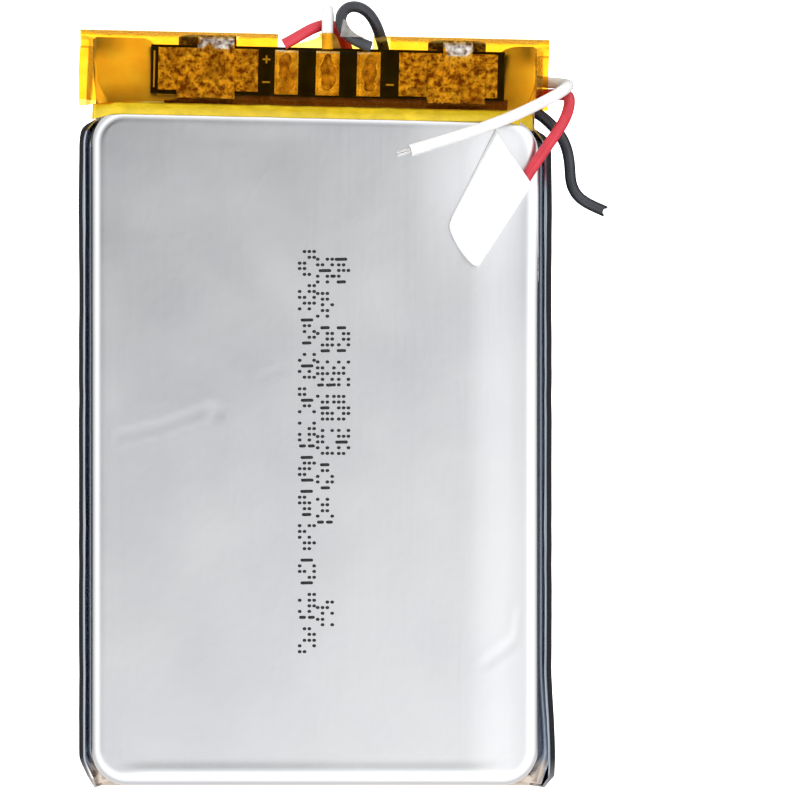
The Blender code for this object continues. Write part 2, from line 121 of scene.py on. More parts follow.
RED_ROUTE = [
    (-2.45, 28.8, 4.30), (-1.45, 29.35, 4.27), (-0.45, 29.95, 3.94), (0.43, 30.35, 3.38),
    (1.15, 30.45, 2.75), (1.84, 30.10, 2.12), (2.28, 29.35, 1.58), (2.60, 28.35, 1.42),
    (3.00, 27.30, 1.37), (3.75, 26.35, 0.98), (4.95, 25.75, 0.56), (6.6, 25.6, 0.49),
    (9.5, 25.55, 0.49), (12.5, 25.45, 0.49), (15.2, 25.25, 0.49), (17.2, 25.1, 0.53),
    (18.85, 25.05, 1.13), (19.90, 24.90, 2.55), (20.12, 24.42, 4.05), (19.95, 23.45, 5.15),
    (19.45, 22.35, 5.78), (18.65, 21.15, 6.0), (17.75, 19.85, 6.01), (16.80, 18.45, 6.02),
    (15.9, 16.95, 6.02), (15.0, 15.45, 6.02),
]
WHITE_ROUTE = [
    (1.0, 28.45, 4.30), (1.0, 29.0, 4.37), (1.0, 29.75, 4.40), (1.0, 31.12, 3.84),
    (1.0, 31.72, 2.43), (1.04, 31.17, 1.08), (1.25, 29.90, 0.50), (1.95, 28.75, 0.49),
    (3.30, 27.98, 0.49), (5.3, 27.75, 0.49), (8.0, 27.6, 0.49), (11.0, 27.25, 0.49),
    (14.0, 26.7, 0.49), (16.5, 26.32, 0.50), (18.4, 26.05, 0.86), (19.65, 25.85, 2.05),
    (20.05, 25.62, 3.5), (19.75, 25.25, 4.95), (19.0, 24.70, 5.85), (17.7, 24.00, 6.10),
    (15.4, 22.95, 6.0), (13.0, 22.05, 5.95), (10.7, 21.30, 5.90), (7.75, 20.42, 5.87),
]
BLACK_ROUTE = [
    (4.42, 28.60, 4.30), (3.65, 28.9, 4.42), (2.80, 29.40, 4.48), (2.18, 30.20, 4.32),
    (2.10, 31.12, 3.90), (2.68, 31.80, 3.38), (3.62, 31.80, 2.90), (4.48, 31.10, 2.45),
    (5.02, 30.05, 1.98), (5.38, 28.85, 1.55), (5.66, 27.60, 1.42), (6.05, 26.40, 1.42),
    (6.65, 25.35, 1.38), (7.65, 24.62, 1.00), (9.1, 24.27, 0.58), (10.9, 24.2, 0.49),
    (12.6, 24.2, 0.49), (14.4, 24.25, 0.49), (16.3, 24.1, 0.49), (17.75, 23.55, 0.49),
    (18.85, 22.65, 0.49), (19.65, 21.65, 0.49), (20.12, 20.45, 0.49), (20.3, 19.1, 0.49),
    (20.45, 17.9, 0.49), (20.95, 17.0, 0.49), (21.75, 16.4, 0.49), (22.7, 15.95, 0.49),
]
PAD_X = {"red": -2.25, "white": 1.0, "black": 4.25}

# Openings in the wrap tape as (outline, lowest z, highest z): the leads' notch and a slit at each tab's bend
TAPE_CUTS = (
    (((-3.0, 32), (-3.0, 28.2), (-2.7, 28.1), (4.3, 28.1), (4.5, 28.4), (4.85, 32)), 2.9, 6.0),
    (((-3.0, 32), (-3.0, 28.1), (-2.7, 27.95), (5.7, 27.95), (5.9, 28.1), (5.9, 32)), 1.0, 2.9),
    (((-9.3, 29.32), (-9.05, 28.9), (-9.5, 28.3), (-8.9, 28.25), (-8.35, 28.75), (-7.85, 28.25),
      (-6.75, 28.25), (-5.95, 29.32)), 3.3, 6.0),
    (((10.0, 29.32), (10.3, 28.7), (10.5, 28.1), (12.0, 28.1), (12.5, 28.55), (12.55, 29.32)), 3.3, 6.0),
)

# Face creases: points along each, its depth and its half width
CREASES = (
    (((-15.6, -2.15), (-11.8, -1.2), (-9.8, -0.5), (-7.8, 0.35)), 0.013, 0.22),
    (((-4.2, 2.5), (-2.5, 3.15)), 0.006, 0.22),
    (((13.4, -20.1), (15.9, -18.2), (16.3, -15.8)), 0.012, 0.30),
)

# The rim's layers from the cup outwards: beside the flaps, at the bottom and on the terrace, each as
# (distance out, height), and then how square its bottom corners are
FRONT_RIM = (
    ((0.0, 0.62), (0.0, 0.62), (0.0, 0.95), 0.0),
    ((0.08, 0.42), (0.0, 0.52), (0.12, 0.72), 0.15),
    ((0.2, 0.36), (0.02, 0.42), (0.5, 0.64), 0.5),
    ((0.38, 0.40), (0.05, 0.34), (1.6, 0.64), 0.85),
    ((0.64, 0.66), (0.08, 0.3), (2.8, 0.64), 1.0),
    ((0.82, 1.2), (0.11, 0.28), (3.1, 0.64), 1.0),
    ((0.83, 2.2), (0.15, 0.26), (3.6, 0.64), 1.0),
    ((0.66, 3.3), (0.19, 0.25), (3.9, 0.62), 1.0),
    ((0.40, FLAP_HEIGHT), (0.22, 0.24), (4.2, 0.6), 1.0),
)
BACK_RIM = (
    ((0.15, 0.0), (0.1, 0.0), (0.0, 0.0), 0.25),
    ((0.42, 0.02), (0.15, 0.0), (0.3, 0.0), 0.7),
    ((0.70, 0.08), (0.18, 0.0), (0.6, 0.0), 0.9),
    ((0.88, 0.24), (0.24, 0.02), (1.6, 0.0), 1.0),
    ((1.00, 0.6), (0.29, 0.06), (2.8, 0.0), 1.0),
    ((1.06, 1.2), (0.3, 0.08), (3.2, 0.0), 1.0),
    ((1.04, 2.2), (0.3, 0.1), (3.6, 0.0), 1.0),
    ((0.86, 3.3), (0.3, 0.12), (3.9, 0.0), 1.0),
    ((0.56, FLAP_HEIGHT), (0.3, 0.14), (4.2, 0.0), 1.0),
)

# ---------------------------------------------------------------- small helpers


def blend(value, low, high):
    """0 below low, 1 above high, and a smooth step between."""
    t = min(max((value - low) / (high - low), 0.0), 1.0)
    return t * t * (3 - 2 * t)


def bell(value, middle, width):
    return math.exp(-(((value - middle) / width) ** 2))


def ripple(x, y, scale, seed):
    """Smooth noise from about -1 to 1; scale is in waves per millimetre."""
    return noise.noise((x * scale, y * scale, seed))


def on_header(x, y, z):
    """A point of the header, which sits slightly crooked on the cell."""
    dx, dy = x - HEADER_PIVOT.x, y - HEADER_PIVOT.y
    cosine, sine = math.cos(HEADER_TILT), math.sin(HEADER_TILT)
    return (
        HEADER_PIVOT.x + dx * cosine - dy * sine,
        HEADER_PIVOT.y + dx * sine + dy * cosine,
        z,
    )


def mesh_object(name, points, faces, paint, sharp=40):
    data = bpy.data.meshes.new(name)
    data.from_pydata([Vector(point) * MM for point in points], [], faces)
    data.update()
    data.shade_smooth()
    data.set_sharp_from_angle(angle=math.radians(sharp))
    obj = bpy.data.objects.new(name, data)
    obj.data.materials.append(paint)
    bpy.context.scene.collection.objects.link(obj)
    return obj


def thicken(obj, thickness, offset, edge_paint=None):
    solid = obj.modifiers.new("Solidify", "SOLIDIFY")
    solid.thickness = thickness * MM
    solid.offset = offset
    solid.use_even_offset = False
    solid.use_rim = True
    if edge_paint:
        obj.data.materials.append(edge_paint)
        solid.material_offset_rim = 1


def settle(obj):
    """Turns an object's modifiers into plain mesh."""
    bpy.context.view_layer.update()
    graph = bpy.context.evaluated_depsgraph_get()
    final = bpy.data.meshes.new_from_object(obj.evaluated_get(graph))
    paints = list(obj.data.materials)
    obj.modifiers.clear()
    obj.data = final
    final.materials.clear()
    for paint in paints:
        final.materials.append(paint)


def cut(obj, outline, z_low, z_high):
    """Takes a prism with this (x, y) outline out of an object."""
    bm = bmesh.new()
    low = [bm.verts.new(Vector((x, y, z_low)) * MM) for x, y in outline]
    high = [bm.verts.new(Vector((x, y, z_high)) * MM) for x, y in outline]
    bm.faces.new(low[::-1])
    bm.faces.new(high)
    for i in range(len(low)):
        j = (i + 1) % len(low)
        bm.faces.new((low[i], low[j], high[j], high[i]))
    bmesh.ops.recalc_face_normals(bm, faces=bm.faces)
    data = bpy.data.meshes.new("cutter")
    bm.to_mesh(data)
    bm.free()
    cutter = bpy.data.objects.new("cutter", data)
    bpy.context.scene.collection.objects.link(cutter)
    knife = obj.modifiers.new("Boolean", "BOOLEAN")
    knife.operation = "DIFFERENCE"
    knife.object = cutter
    settle(obj)
    bpy.data.objects.remove(cutter, do_unlink=True)


def grid_faces(rows, columns):
    """Quads of a grid of points that are listed row by row."""
    faces = []
    for row in range(rows - 1):
        for column in range(columns - 1):
            a = row * columns + column
            faces.append((a, a + 1, a + columns + 1, a + columns))
    return faces


def grid_points(rows, columns, place):
    """Points of a grid, row by row; place(t, u) gives the one that lies t and u of the way along it."""
    return [place(row / rows, column / columns) for row in range(rows + 1) for column in range(columns + 1)]


def border(rows, columns):
    """Indices of a grid's points round its edge."""
    loop = list(range(columns))
    loop += [row * columns + columns - 1 for row in range(1, rows)]
    loop += [(rows - 1) * columns + column for column in reversed(range(columns - 1))]
    return loop + [row * columns for row in reversed(range(1, rows - 1))]


def hoop_faces(base, turns, hoops, total):
    """Quads between hoops of points that are listed hoop by hoop; after the last hoop comes the first."""
    faces = []
    for hoop in range(hoops):
        low, high = base + hoop * turns, base + (hoop + 1) % total * turns
        for turn in range(turns):
            after = (turn + 1) % turns
            faces.append((low + turn, low + after, high + after, high + turn))
    return faces


def sheet(name, points, columns, paint, thickness, offset=0.0):
    """A thin sheet over a grid of points."""
    obj = mesh_object(name, points, grid_faces(len(points) // columns, columns), paint, 60)
    thicken(obj, thickness, offset)
    settle(obj)
    return obj


def finish_piece(obj, slot, *nodes):
    """A finished piece rides on the cell and stands for its solids; its slot is not used."""
    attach(obj, "root")
    if nodes:
        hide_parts(*nodes)
    return obj


# ---------------------------------------------------------------- building shaders


def connect(tree, socket, value):
    """Gives a socket its value, or links it to another node's output."""
    if isinstance(value, bpy.types.NodeSocket):
        tree.links.new(value, socket)
    else:
        socket.default_value = value


def fill(tree, node, **sockets):
    """Fills a node's inputs; each is named as its socket is, with _ for a space."""
    for label, value in sockets.items():
        connect(tree, node.inputs[label.replace("_", " ")], value)


def add(tree, kind, settings=(), **sockets):
    node = tree.nodes.new("ShaderNode" + kind)
    for label, value in dict(settings).items():
        setattr(node, label, value)
    fill(tree, node, **sockets)
    return node


def calculate(tree, operation, *values, clamp=False):
    node = add(tree, "Math", {"operation": operation, "use_clamp": clamp})
    for socket, value in zip(node.inputs, values):
        connect(tree, socket, value)
    return node.outputs[0]


def remap(tree, value, low, high, to_low=0.0, to_high=1.0, way="LINEAR"):
    """Carries a value from one range to another, and holds it at the second one's ends."""
    node = add(
        tree, "MapRange", {"interpolation_type": way},
        Value=value, From_Min=low, From_Max=high, To_Min=to_low, To_Max=to_high,
    )
    return node.outputs[0]


def fade(tree, value, start, end):
    """A mask that goes from 0 to 1 between two places, given in millimetres."""
    return remap(tree, value, start * MM, end * MM)


def mixed(tree, factor, first, second, kind="RGBA"):
    return add(tree, "Mix", {"data_type": kind}, Factor=factor, A=first, B=second).outputs["Result"]


def two_tone(tree, factor, first, second):
    return mixed(tree, factor, (*first, 1.0), (*second, 1.0))


def relief(tree, height, strength, depth, under=None):
    """A normal made from a height; depth is in millimetres, and under is a relief below this one."""
    bump = add(tree, "Bump", Strength=strength, Distance=depth * MM, Height=height)
    if under is not None:
        fill(tree, bump, Normal=under)
    return bump.outputs["Normal"]


def layered(tree, share, under, over):
    """Mixes two shaders; share is how much of the second one shows."""
    mix = add(tree, "MixShader", Fac=share)
    tree.links.new(under.outputs[0], mix.inputs[1])
    tree.links.new(over.outputs[0], mix.inputs[2])
    return mix


def blank(name, **sockets):
    """A new material, its node tree and its Principled shader with these inputs filled."""
    made = bpy.data.materials.new(name)
    made.use_nodes = True
    shader = made.node_tree.nodes["Principled BSDF"]
    fill(made.node_tree, shader, **sockets)
    return made, made.node_tree, shader


def show(tree, shader):
    tree.links.new(shader.outputs[0], tree.nodes["Material Output"].inputs["Surface"])


# ---------------------------------------------------------------- shared surface effects


def effect_group(name, inputs, build):
    """A node group with one output, Value, worked out from where a point is on the object."""
    tree = bpy.data.node_groups.new(name, "ShaderNodeTree")
    for label, value in inputs:
        socket = tree.interface.new_socket(label, in_out="INPUT", socket_type="NodeSocketFloat")
        socket.default_value = value
    tree.interface.new_socket("Value", in_out="OUTPUT", socket_type="NodeSocketFloat")
    given = tree.nodes.new("NodeGroupInput").outputs
    place = add(tree, "TexCoord").outputs["Object"]
    in_mm = add(tree, "VectorMath", {"operation": "SCALE"}, Vector=place, Scale=1 / MM).outputs[0]
    limits = [given[label] for label, _ in RANGE]
    value = remap(tree, build(tree, given, in_mm), *limits)
    tree.links.new(value, tree.nodes.new("NodeGroupOutput").inputs["Value"])
    return tree


def build_cloud(tree, given, place):
    """Soft patches."""
    texture = add(tree, "TexNoise", Vector=place, Scale=given["Scale"], Detail=given["Detail"])
    return texture.outputs["Fac"]


def build_lines(tree, given, place):
    """Fine lines that run along the cell's length, as rolling leaves them."""
    squeeze = add(tree, "CombineXYZ", X=1.0, Y=given["Stretch"], Z=1.0)
    along = add(tree, "VectorMath", {"operation": "MULTIPLY"}, Vector=place)
    tree.links.new(squeeze.outputs[0], along.inputs[1])
    texture = add(tree, "TexNoise", Vector=along.outputs[0], Scale=given["Scale"], Detail=3.0)
    return texture.outputs["Fac"]


def build_pits(tree, given, place):
    """Small round pits or specks."""
    texture = add(
        tree, "TexVoronoi", Vector=place, Scale=given["Scale"], Randomness=given["Randomness"]
    )
    return texture.outputs["Distance"]


RANGE = (("From Min", 0.3), ("From Max", 0.7), ("To Min", 0.0), ("To Max", 1.0))
CLOUD = effect_group("soft_patches", (("Scale", 0.3), ("Detail", 3.0), *RANGE), build_cloud)
LINES = effect_group("rolled_lines", (("Scale", 3.0), ("Stretch", 0.05), *RANGE), build_lines)
PITS = effect_group("small_pits", (("Scale", 2.0), ("Randomness", 1.0), *RANGE), build_pits)


def effect(tree, group, **values):
    """Places a shared effect in a material, with values named as its inputs are."""
    return add(tree, "Group", {"node_tree": group}, **values).outputs["Value"]


# ---------------------------------------------------------------- materials


def moulded(name, dark, light, rough, metallic=0.0, patch=0.6, fine=6.0, stretch=1.0, bump=0.01,
            coat=0.0, specular=0.5):
    """A solid finish: two tones in soft patches, and fine texture in its gloss and relief."""
    made, tree, shader = blank(
        name, Metallic=metallic, Specular_IOR_Level=specular, Coat_Weight=coat, Coat_Roughness=0.12
    )
    patches = effect(tree, CLOUD, Scale=patch, Detail=4.0)
    gloss = effect(tree, LINES, Scale=fine, Stretch=stretch, To_Min=rough[0], To_Max=rough[1])
    texture = effect(tree, LINES, Scale=fine * 1.7, Stretch=stretch)
    fill(
        tree, shader, Base_Color=two_tone(tree, patches, dark, light), Roughness=gloss,
        Normal=relief(tree, texture, 0.6, bump),
    )
    return made


def make_foil():
    """Aluminium laminate: satin metal with rolled lines and cloudy gloss.

    Its colour is painted a dark bluish grey on the folded flaps, as painted shade for the dark surroundings
    they reflect, and it is warmer on the flat rim at the bottom end.
    """
    made, tree, shader = blank("laminate_foil", Metallic=1.0, Coat_Weight=0.1, Coat_Roughness=0.2)
    patches = effect(tree, CLOUD, Scale=0.09, Detail=5.0)
    colour = two_tone(tree, patches, (0.80, 0.81, 0.835), (0.86, 0.86, 0.865))
    place = add(tree, "SeparateXYZ", Vector=add(tree, "TexCoord").outputs["Object"]).outputs
    # Painted shade: beyond 17.72 mm either side, the foil's colour fades to a dark bluish grey that stands
    # for the dark surroundings the folded flaps reflect.
    flap_shade_mask = fade(tree, calculate(tree, "ABSOLUTE", place["X"]), 17.72, 18.1)
    colour = mixed(tree, flap_shade_mask, colour, (0.36, 0.40, 0.46, 1.0))
    at_end = fade(tree, place["Y"], -27.8, -28.6)
    on_rim = calculate(tree, "MULTIPLY", fade(tree, place["Z"], 0.8, 0.55), at_end)
    colour = mixed(tree, on_rim, colour, (0.60, 0.51, 0.43, 1.0))
    gloss = effect(tree, CLOUD, Scale=0.16, Detail=6.0, To_Min=0.20, To_Max=0.25)
    lines = relief(tree, effect(tree, LINES, Scale=2.2, Stretch=0.035), 0.2, 0.003)
    mottle = relief(tree, effect(tree, CLOUD, Scale=1.1, Detail=4.0), 0.2, 0.006, lines)
    fill(tree, shader, Base_Color=colour, Roughness=gloss, Normal=mottle)
    return made


def make_film(name, clear, clear_patch, body, share, rough, waves):
    """See-through tape: light is filtered by the film, and a glossy skin lies over it."""
    made, tree, shader = blank(name, Roughness=rough)
    patches = effect(tree, CLOUD, Scale=waves, Detail=5.0)
    bumped = relief(tree, effect(tree, CLOUD, Scale=waves * 2.6, Detail=4.0), 0.6, 0.05)
    shade = [value * 0.72 for value in body]
    fill(tree, shader, Base_Color=two_tone(tree, patches, body, shade), Normal=bumped)
    film = add(tree, "BsdfTransparent", Color=two_tone(tree, patches, clear, clear_patch))
    skin = add(tree, "BsdfGlossy", Roughness=rough, Normal=bumped)
    dust = effect(tree, CLOUD, Scale=waves * 1.5, Detail=6.0, To_Min=share[0], To_Max=share[1])
    mirror = add(tree, "Fresnel", IOR=1.45, Normal=bumped)
    glint = calculate(tree, "MULTIPLY_ADD", mirror.outputs[0], 0.5, -0.016, clamp=True)
    show(tree, layered(tree, glint, layered(tree, dust, film, shader), skin))
    return made


def make_weld_nickel():
    """Dull nickel strip, grained and pitted where it was welded."""
    made, tree, shader = blank("nickel_plate", Metallic=0.85)
    specks = effect(tree, PITS, Scale=2.6, From_Min=0.05, From_Max=0.30)
    grains = effect(tree, CLOUD, Scale=2.3, Detail=7.0, From_Min=0.36, From_Max=0.64)
    streaks = effect(tree, CLOUD, Scale=0.55, Detail=2.0, From_Min=0.38, From_Max=0.52, To_Min=0.55)
    surface = calculate(tree, "MULTIPLY", specks, grains)
    worn = calculate(tree, "MULTIPLY", surface, streaks)
    fill(
        tree, shader, Base_Color=two_tone(tree, worn, (0.15, 0.07, 0.035), (0.90, 0.85, 0.78)),
        Roughness=effect(tree, CLOUD, Scale=2.0, Detail=4.0, To_Min=0.35, To_Max=0.55),
        Normal=relief(tree, surface, 0.8, 0.09),
    )
    return made


FOIL = make_foil()
CUT_EDGE = moulded("laminate_cut_edge", (0.07, 0.08, 0.09), (0.16, 0.18, 0.20), (0.45, 0.7), 0.3, fine=5.0)
NICKEL = make_weld_nickel()
AMBER = make_film(
    "amber_tape", (0.993, 0.82, 0.36), (0.985, 0.77, 0.30), (0.95, 0.45, 0.01), (0.0, 0.006), 0.1, 0.7
)
# Painted highlight: a lighter, more opaque yellow copy of the amber tape, used for the step strip, that
# stands for light caught on the cup's shoulder.
LIT_STEP_TAPE = make_film(
    "amber_tape_painted_light", (0.995, 0.92, 0.36), (0.99, 0.88, 0.28), (1.0, 0.72, 0.02), (0.7, 0.85), 0.25, 0.7
)
CLEAR_TAPE = make_film(
    "clear_tape", (0.90, 0.88, 0.84), (0.85, 0.83, 0.79), (0.75, 0.72, 0.68), (0.2, 0.4), 0.25, 0.9
)
PAINTS = {"laminate_foil": FOIL, "nickel_plate": NICKEL, "amber_tape": AMBER, "clear_tape": CLEAR_TAPE}
SLEEVE = {"patch": 0.8, "fine": 3.0, "stretch": 0.4, "bump": 0.012}

# Each solid finish: its darker tone, its lighter tone, its range of roughness and what else sets it apart
for finish, dark, light, rough, others in (
    ("copper_anode", (0.42, 0.17, 0.09), (0.62, 0.30, 0.18), (0.3, 0.5), {"metallic": 0.9}),
    ("cathode_coating", (0.03, 0.03, 0.035), (0.06, 0.06, 0.07), (0.6, 0.85), {}),
    ("separator_film", (0.80, 0.80, 0.77), (0.92, 0.92, 0.90), (0.4, 0.6), {}),
    ("green_tape", (0.04, 0.28, 0.12), (0.08, 0.38, 0.18), (0.3, 0.45), {}),
    ("insulating_paper", (0.55, 0.50, 0.36), (0.70, 0.65, 0.50), (0.7, 0.9), {}),
    ("aluminium_tab", (0.60, 0.57, 0.58), (0.80, 0.78, 0.79), (0.28, 0.42),
     {"metallic": 0.9, "fine": 4.0, "stretch": 0.1, "bump": 0.02}),
    ("tab_seal_film", (0.72, 0.70, 0.62), (0.86, 0.84, 0.78), (0.35, 0.5), {}),
    ("board_mask", (0.002, 0.004, 0.003), (0.006, 0.010, 0.008), (0.25, 0.4),
     {"bump": 0.006, "specular": 0.1}),
    ("board_legend", (0.40, 0.42, 0.40), (0.62, 0.64, 0.60), (0.5, 0.7), {"fine": 10.0}),
    ("solder", (0.30, 0.20, 0.14), (0.96, 0.94, 0.90), (0.2, 0.4),
     {"metallic": 0.95, "patch": 0.9, "fine": 2.0, "bump": 0.06}),
    ("flux_stained_solder", (0.10, 0.045, 0.025), (0.72, 0.58, 0.44), (0.2, 0.45),
     {"metallic": 0.7, "patch": 1.7, "bump": 0.03}),
    ("chip_epoxy", (0.012, 0.012, 0.014), (0.03, 0.03, 0.034), (0.4, 0.65), {}),
    ("chip_ceramic", (0.36, 0.25, 0.15), (0.55, 0.42, 0.29), (0.35, 0.6), {}),
    ("red_insulation", (0.55, 0.018, 0.035), (0.68, 0.035, 0.06), (0.28, 0.42), {"coat": 0.25, **SLEEVE}),
    ("white_insulation", (0.80, 0.80, 0.78), (0.90, 0.90, 0.89), (0.28, 0.42), {"coat": 0.25, **SLEEVE}),
    ("black_insulation", (0.016, 0.018, 0.024), (0.034, 0.038, 0.048), (0.25, 0.42), {"coat": 0.3, **SLEEVE}),
    ("tinned_copper", (0.62, 0.60, 0.57), (0.85, 0.84, 0.82), (0.15, 0.35),
     {"metallic": 1.0, "fine": 9.0, "bump": 0.02}),
    ("white_tape", (0.86, 0.86, 0.86), (0.94, 0.94, 0.935), (0.5, 0.7),
     {"patch": 0.4, "fine": 5.0, "bump": 0.02}),
    # Painted shade: the dark brown finish of the gutter strip stands for the shadowed gutter under the tape.
    ("amber_tape_layers", (0.08, 0.024, 0.008), (0.16, 0.055, 0.02), (0.15, 0.35),
     {"patch": 0.8, "fine": 2.0, "bump": 0.03}),
    ("black_ink", (0.004, 0.004, 0.005), (0.012, 0.012, 0.013), (0.4, 0.6), {"fine": 12.0, "bump": 0.003}),
):
    PAINTS[finish] = moulded(finish, dark, light, rough, **others)

for part in frame["record"]["subparts"]:
    solid_node = frame["nodes"][part["node"]]
    solid_node.data.materials.clear()
    solid_node.data.materials.append(PAINTS[part["material_slot"]])

# ---------------------------------------------------------------- camera, floor and light


def make_camera():
    """Straight down on the cell, which lies left of the middle of the frame."""
    lens = bpy.data.cameras.new("camera")
    lens.lens = 200.0
    lens.sensor_width = 36.0
    frame_width = 63.0
    height = THICKNESS + frame_width * lens.lens / lens.sensor_width
    camera = bpy.data.objects.new("camera", lens)
    camera.location = Vector((6.73, 0.71, height)) * MM
    lens.clip_start = 0.01
    lens.clip_end = 10.0
    bpy.context.scene.collection.objects.link(camera)
    bpy.context.scene.camera = camera


def make_floor():
    """A white light table: bright to look at, and dim in the foil's reflections."""
    bpy.ops.mesh.primitive_circle_add(vertices=96, radius=3.0, fill_type="NGON")
    floor = bpy.context.object
    floor.name = "floor"
    floor.location.z = -0.06 * MM
    made, tree, shader = blank(
        "floor_white", Base_Color=(0.9, 0.9, 0.9, 1.0), Roughness=0.9, Specular_IOR_Level=0.0
    )
    glow = add(tree, "Emission", Strength=2.3)
    place = add(tree, "SeparateXYZ", Vector=add(tree, "TexCoord").outputs["Object"])
    beyond = remap(tree, calculate(tree, "ABSOLUTE", place.outputs["Y"]), 28 * MM, 33 * MM, 0.05, 0.9)
    dim = add(tree, "Emission", Color=(1.0, 0.93, 0.88, 1.0), Strength=beyond)
    ray = add(tree, "LightPath").outputs
    lit = layered(tree, ray["Is Glossy Ray"], shader, dim)
    show(tree, layered(tree, ray["Is Camera Ray"], lit, glow))
    floor.data.materials.append(made)
    floor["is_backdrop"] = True


def make_light():
    """A soft dome: greyer straight above, bright all round, and dim towards the horizon.

    Reflections see its lower part dimmer, so that the foil stays grey when it is seen from the side.
    """
    world = bpy.data.worlds.new("studio")
    bpy.context.scene.world = world
    world.use_nodes = True
    tree = world.node_tree
    towards = add(tree, "TexCoord").outputs["Generated"]
    away = add(tree, "VectorMath", {"operation": "DISTANCE"}, Vector=towards)
    away.inputs[1].default_value = (-0.17, 0.17, 0.97)
    dome = remap(tree, away.outputs["Value"], 0.06, 0.46, 0.04, 1.42)
    direction = add(tree, "SeparateXYZ", Vector=towards).outputs
    either_end = calculate(tree, "ABSOLUTE", direction["Y"])
    raised = calculate(tree, "MULTIPLY_ADD", either_end, 0.4, direction["Z"])
    horizon = remap(tree, raised, -0.1, 0.42, 0.08, 1.0, "SMOOTHSTEP")
    strength = calculate(tree, "MULTIPLY", dome, horizon)
    ray = add(tree, "LightPath").outputs
    low_down = remap(tree, direction["Z"], 0.40, 0.80, 0.52, 1.0)
    mirrored = mixed(tree, ray["Is Glossy Ray"], 1.0, low_down, "FLOAT")
    dimmed = calculate(tree, "MULTIPLY", strength, mirrored)
    seen = mixed(tree, ray["Is Camera Ray"], dimmed, 0.93, "FLOAT")
    fill(tree, tree.nodes["Background"], Color=(0.985, 0.99, 1.0, 1.0), Strength=seen)


bpy.context.scene.view_settings.view_transform = "Standard"
make_camera()
make_floor()
make_light()

# ---------------------------------------------------------------- leads


def smooth_route(points, count):
    """Evenly spread points on a natural cubic spline through the route's own points."""
    knots = np.asarray(points, float)
    spans = np.linalg.norm(np.diff(knots, axis=0), axis=1)
    at = np.concatenate([[0.0], np.cumsum(spans)])
    size = len(knots)
    system = np.eye(size)
    target = np.zeros((size, 3))
    for i in range(1, size - 1):
        before, after = spans[i - 1], spans[i]
        system[i, i - 1 : i + 2] = (before, 2 * (before + after), after)
        target[i] = 6 * ((knots[i + 1] - knots[i]) / after - (knots[i] - knots[i - 1]) / before)
    bends = np.linalg.solve(system, target)
    result = []
    for along in np.linspace(0.0, at[-1], count):
        i = min(int(np.searchsorted(at, along, side="right")) - 1, size - 2)
        left = (at[i + 1] - along) / spans[i]
        right = (along - at[i]) / spans[i]
        bow = (left**3 - left) * bends[i] + (right**3 - right) * bends[i + 1]
        result.append(Vector(left * knots[i] + right * knots[i + 1] + bow * spans[i] ** 2 / 6))
    return result


def curve_tube(name, points, radius, paint, resolution=6):
    data = bpy.data.curves.new(name, "CURVE")
    data.dimensions = "3D"
    data.bevel_depth = radius * MM
    data.bevel_resolution = resolution
    data.use_fill_caps = True
    spline = data.splines.new("POLY")
    spline.points.add(len(points) - 1)
    for slot, point in zip(spline.points, points):
        slot.co = (*(point * MM), 1.0)
    spline.use_smooth = True
    data.materials.append(paint)
    obj = bpy.data.objects.new(name, data)
    bpy.context.scene.collection.objects.link(obj)
    return obj


def axes_at(direction):
    """Two unit vectors square to a direction."""
    side = direction.cross(Vector((0, 0, 1))).normalized()
    return side, side.cross(direction).normalized()


def spoke(axes, turn, turns):
    """A unit vector in the plane of two axes, after some of the equal turns of a circle."""
    angle = 2 * math.pi * turn / turns
    return axes[0] * math.cos(angle) + axes[1] * math.sin(angle)


def strand_bundle(name, start, direction, length, spread, seed):
    """Bare conductor: one fine wire with six laid round it, slightly splayed at the cut."""
    rng = random.Random(seed)
    axes = axes_at(direction)
    around, pitch, radius = 6, 0.115, 0.062
    sides, steps = 8, 6
    points, faces = [], []
    for wire in range(around + 1):
        outward = spoke(axes, wire, around)
        root = start + outward * (pitch if wire else 0.0)
        splay = outward * spread * rng.uniform(0.3, 1.0)
        reach = length * rng.uniform(0.85, 1.0)
        base = len(points)
        for step in range(steps + 1):
            t = step / steps
            centre = root + direction * reach * t + splay * t * t
            shrink = 1.0 if step < steps else 0.7
            points += [centre + spoke(axes, turn, sides) * radius * shrink for turn in range(sides)]
        faces += hoop_faces(base, sides, steps, steps + 1)
        faces.append(tuple(base + turn for turn in range(sides))[::-1])
        faces.append(tuple(base + steps * sides + turn for turn in range(sides)))
    return mesh_object(name, points, faces, PAINTS["tinned_copper"])


def cut_collar(name, start, direction, length, jag, seed, paint):
    """Torn end of a lead's insulation: a short thin-walled ring with an uneven lip."""
    rng = random.Random(seed)
    axes = axes_at(direction)
    turns, inner = 28, 0.66
    lips = [rng.uniform(0.0, 1.0) for _ in range(turns)]
    points = []
    for radius_share, reach_share in ((1.0, 0.0), (1.0, 1.0), (inner, 1.0), (inner, 0.0)):
        for turn in range(turns):
            peaks = abs(math.cos(2 * math.pi * turn / turns)) ** 3
            lip = length + jag * (0.6 * peaks + 0.4 * lips[turn])
            wall = spoke(axes, turn, turns) * LEAD_RADIUS * radius_share
            points.append(start + direction * lip * reach_share + wall)
    return mesh_object(name, points, hoop_faces(0, turns, 4, 4), paint, 50)


def route_length(points):
    return sum((b - a).length for a, b in zip(points, points[1:]))


def make_leads():
    leads = {}
    for colour, route in (("red", RED_ROUTE), ("white", WHITE_ROUTE), ("black", BLACK_ROUTE)):
        points = smooth_route(route, LEAD_STEPS)
        wire = curve_tube(f"{colour}_lead_wire", points, LEAD_RADIUS, PAINTS[colour + "_insulation"])
        finish_piece(wire, f"{colour}_insulation", f"{colour}_lead")
        end = points[-1]
        leads[colour] = (wire, points, end, (end - points[-3]).normalized())
    return leads


LEADS = make_leads()


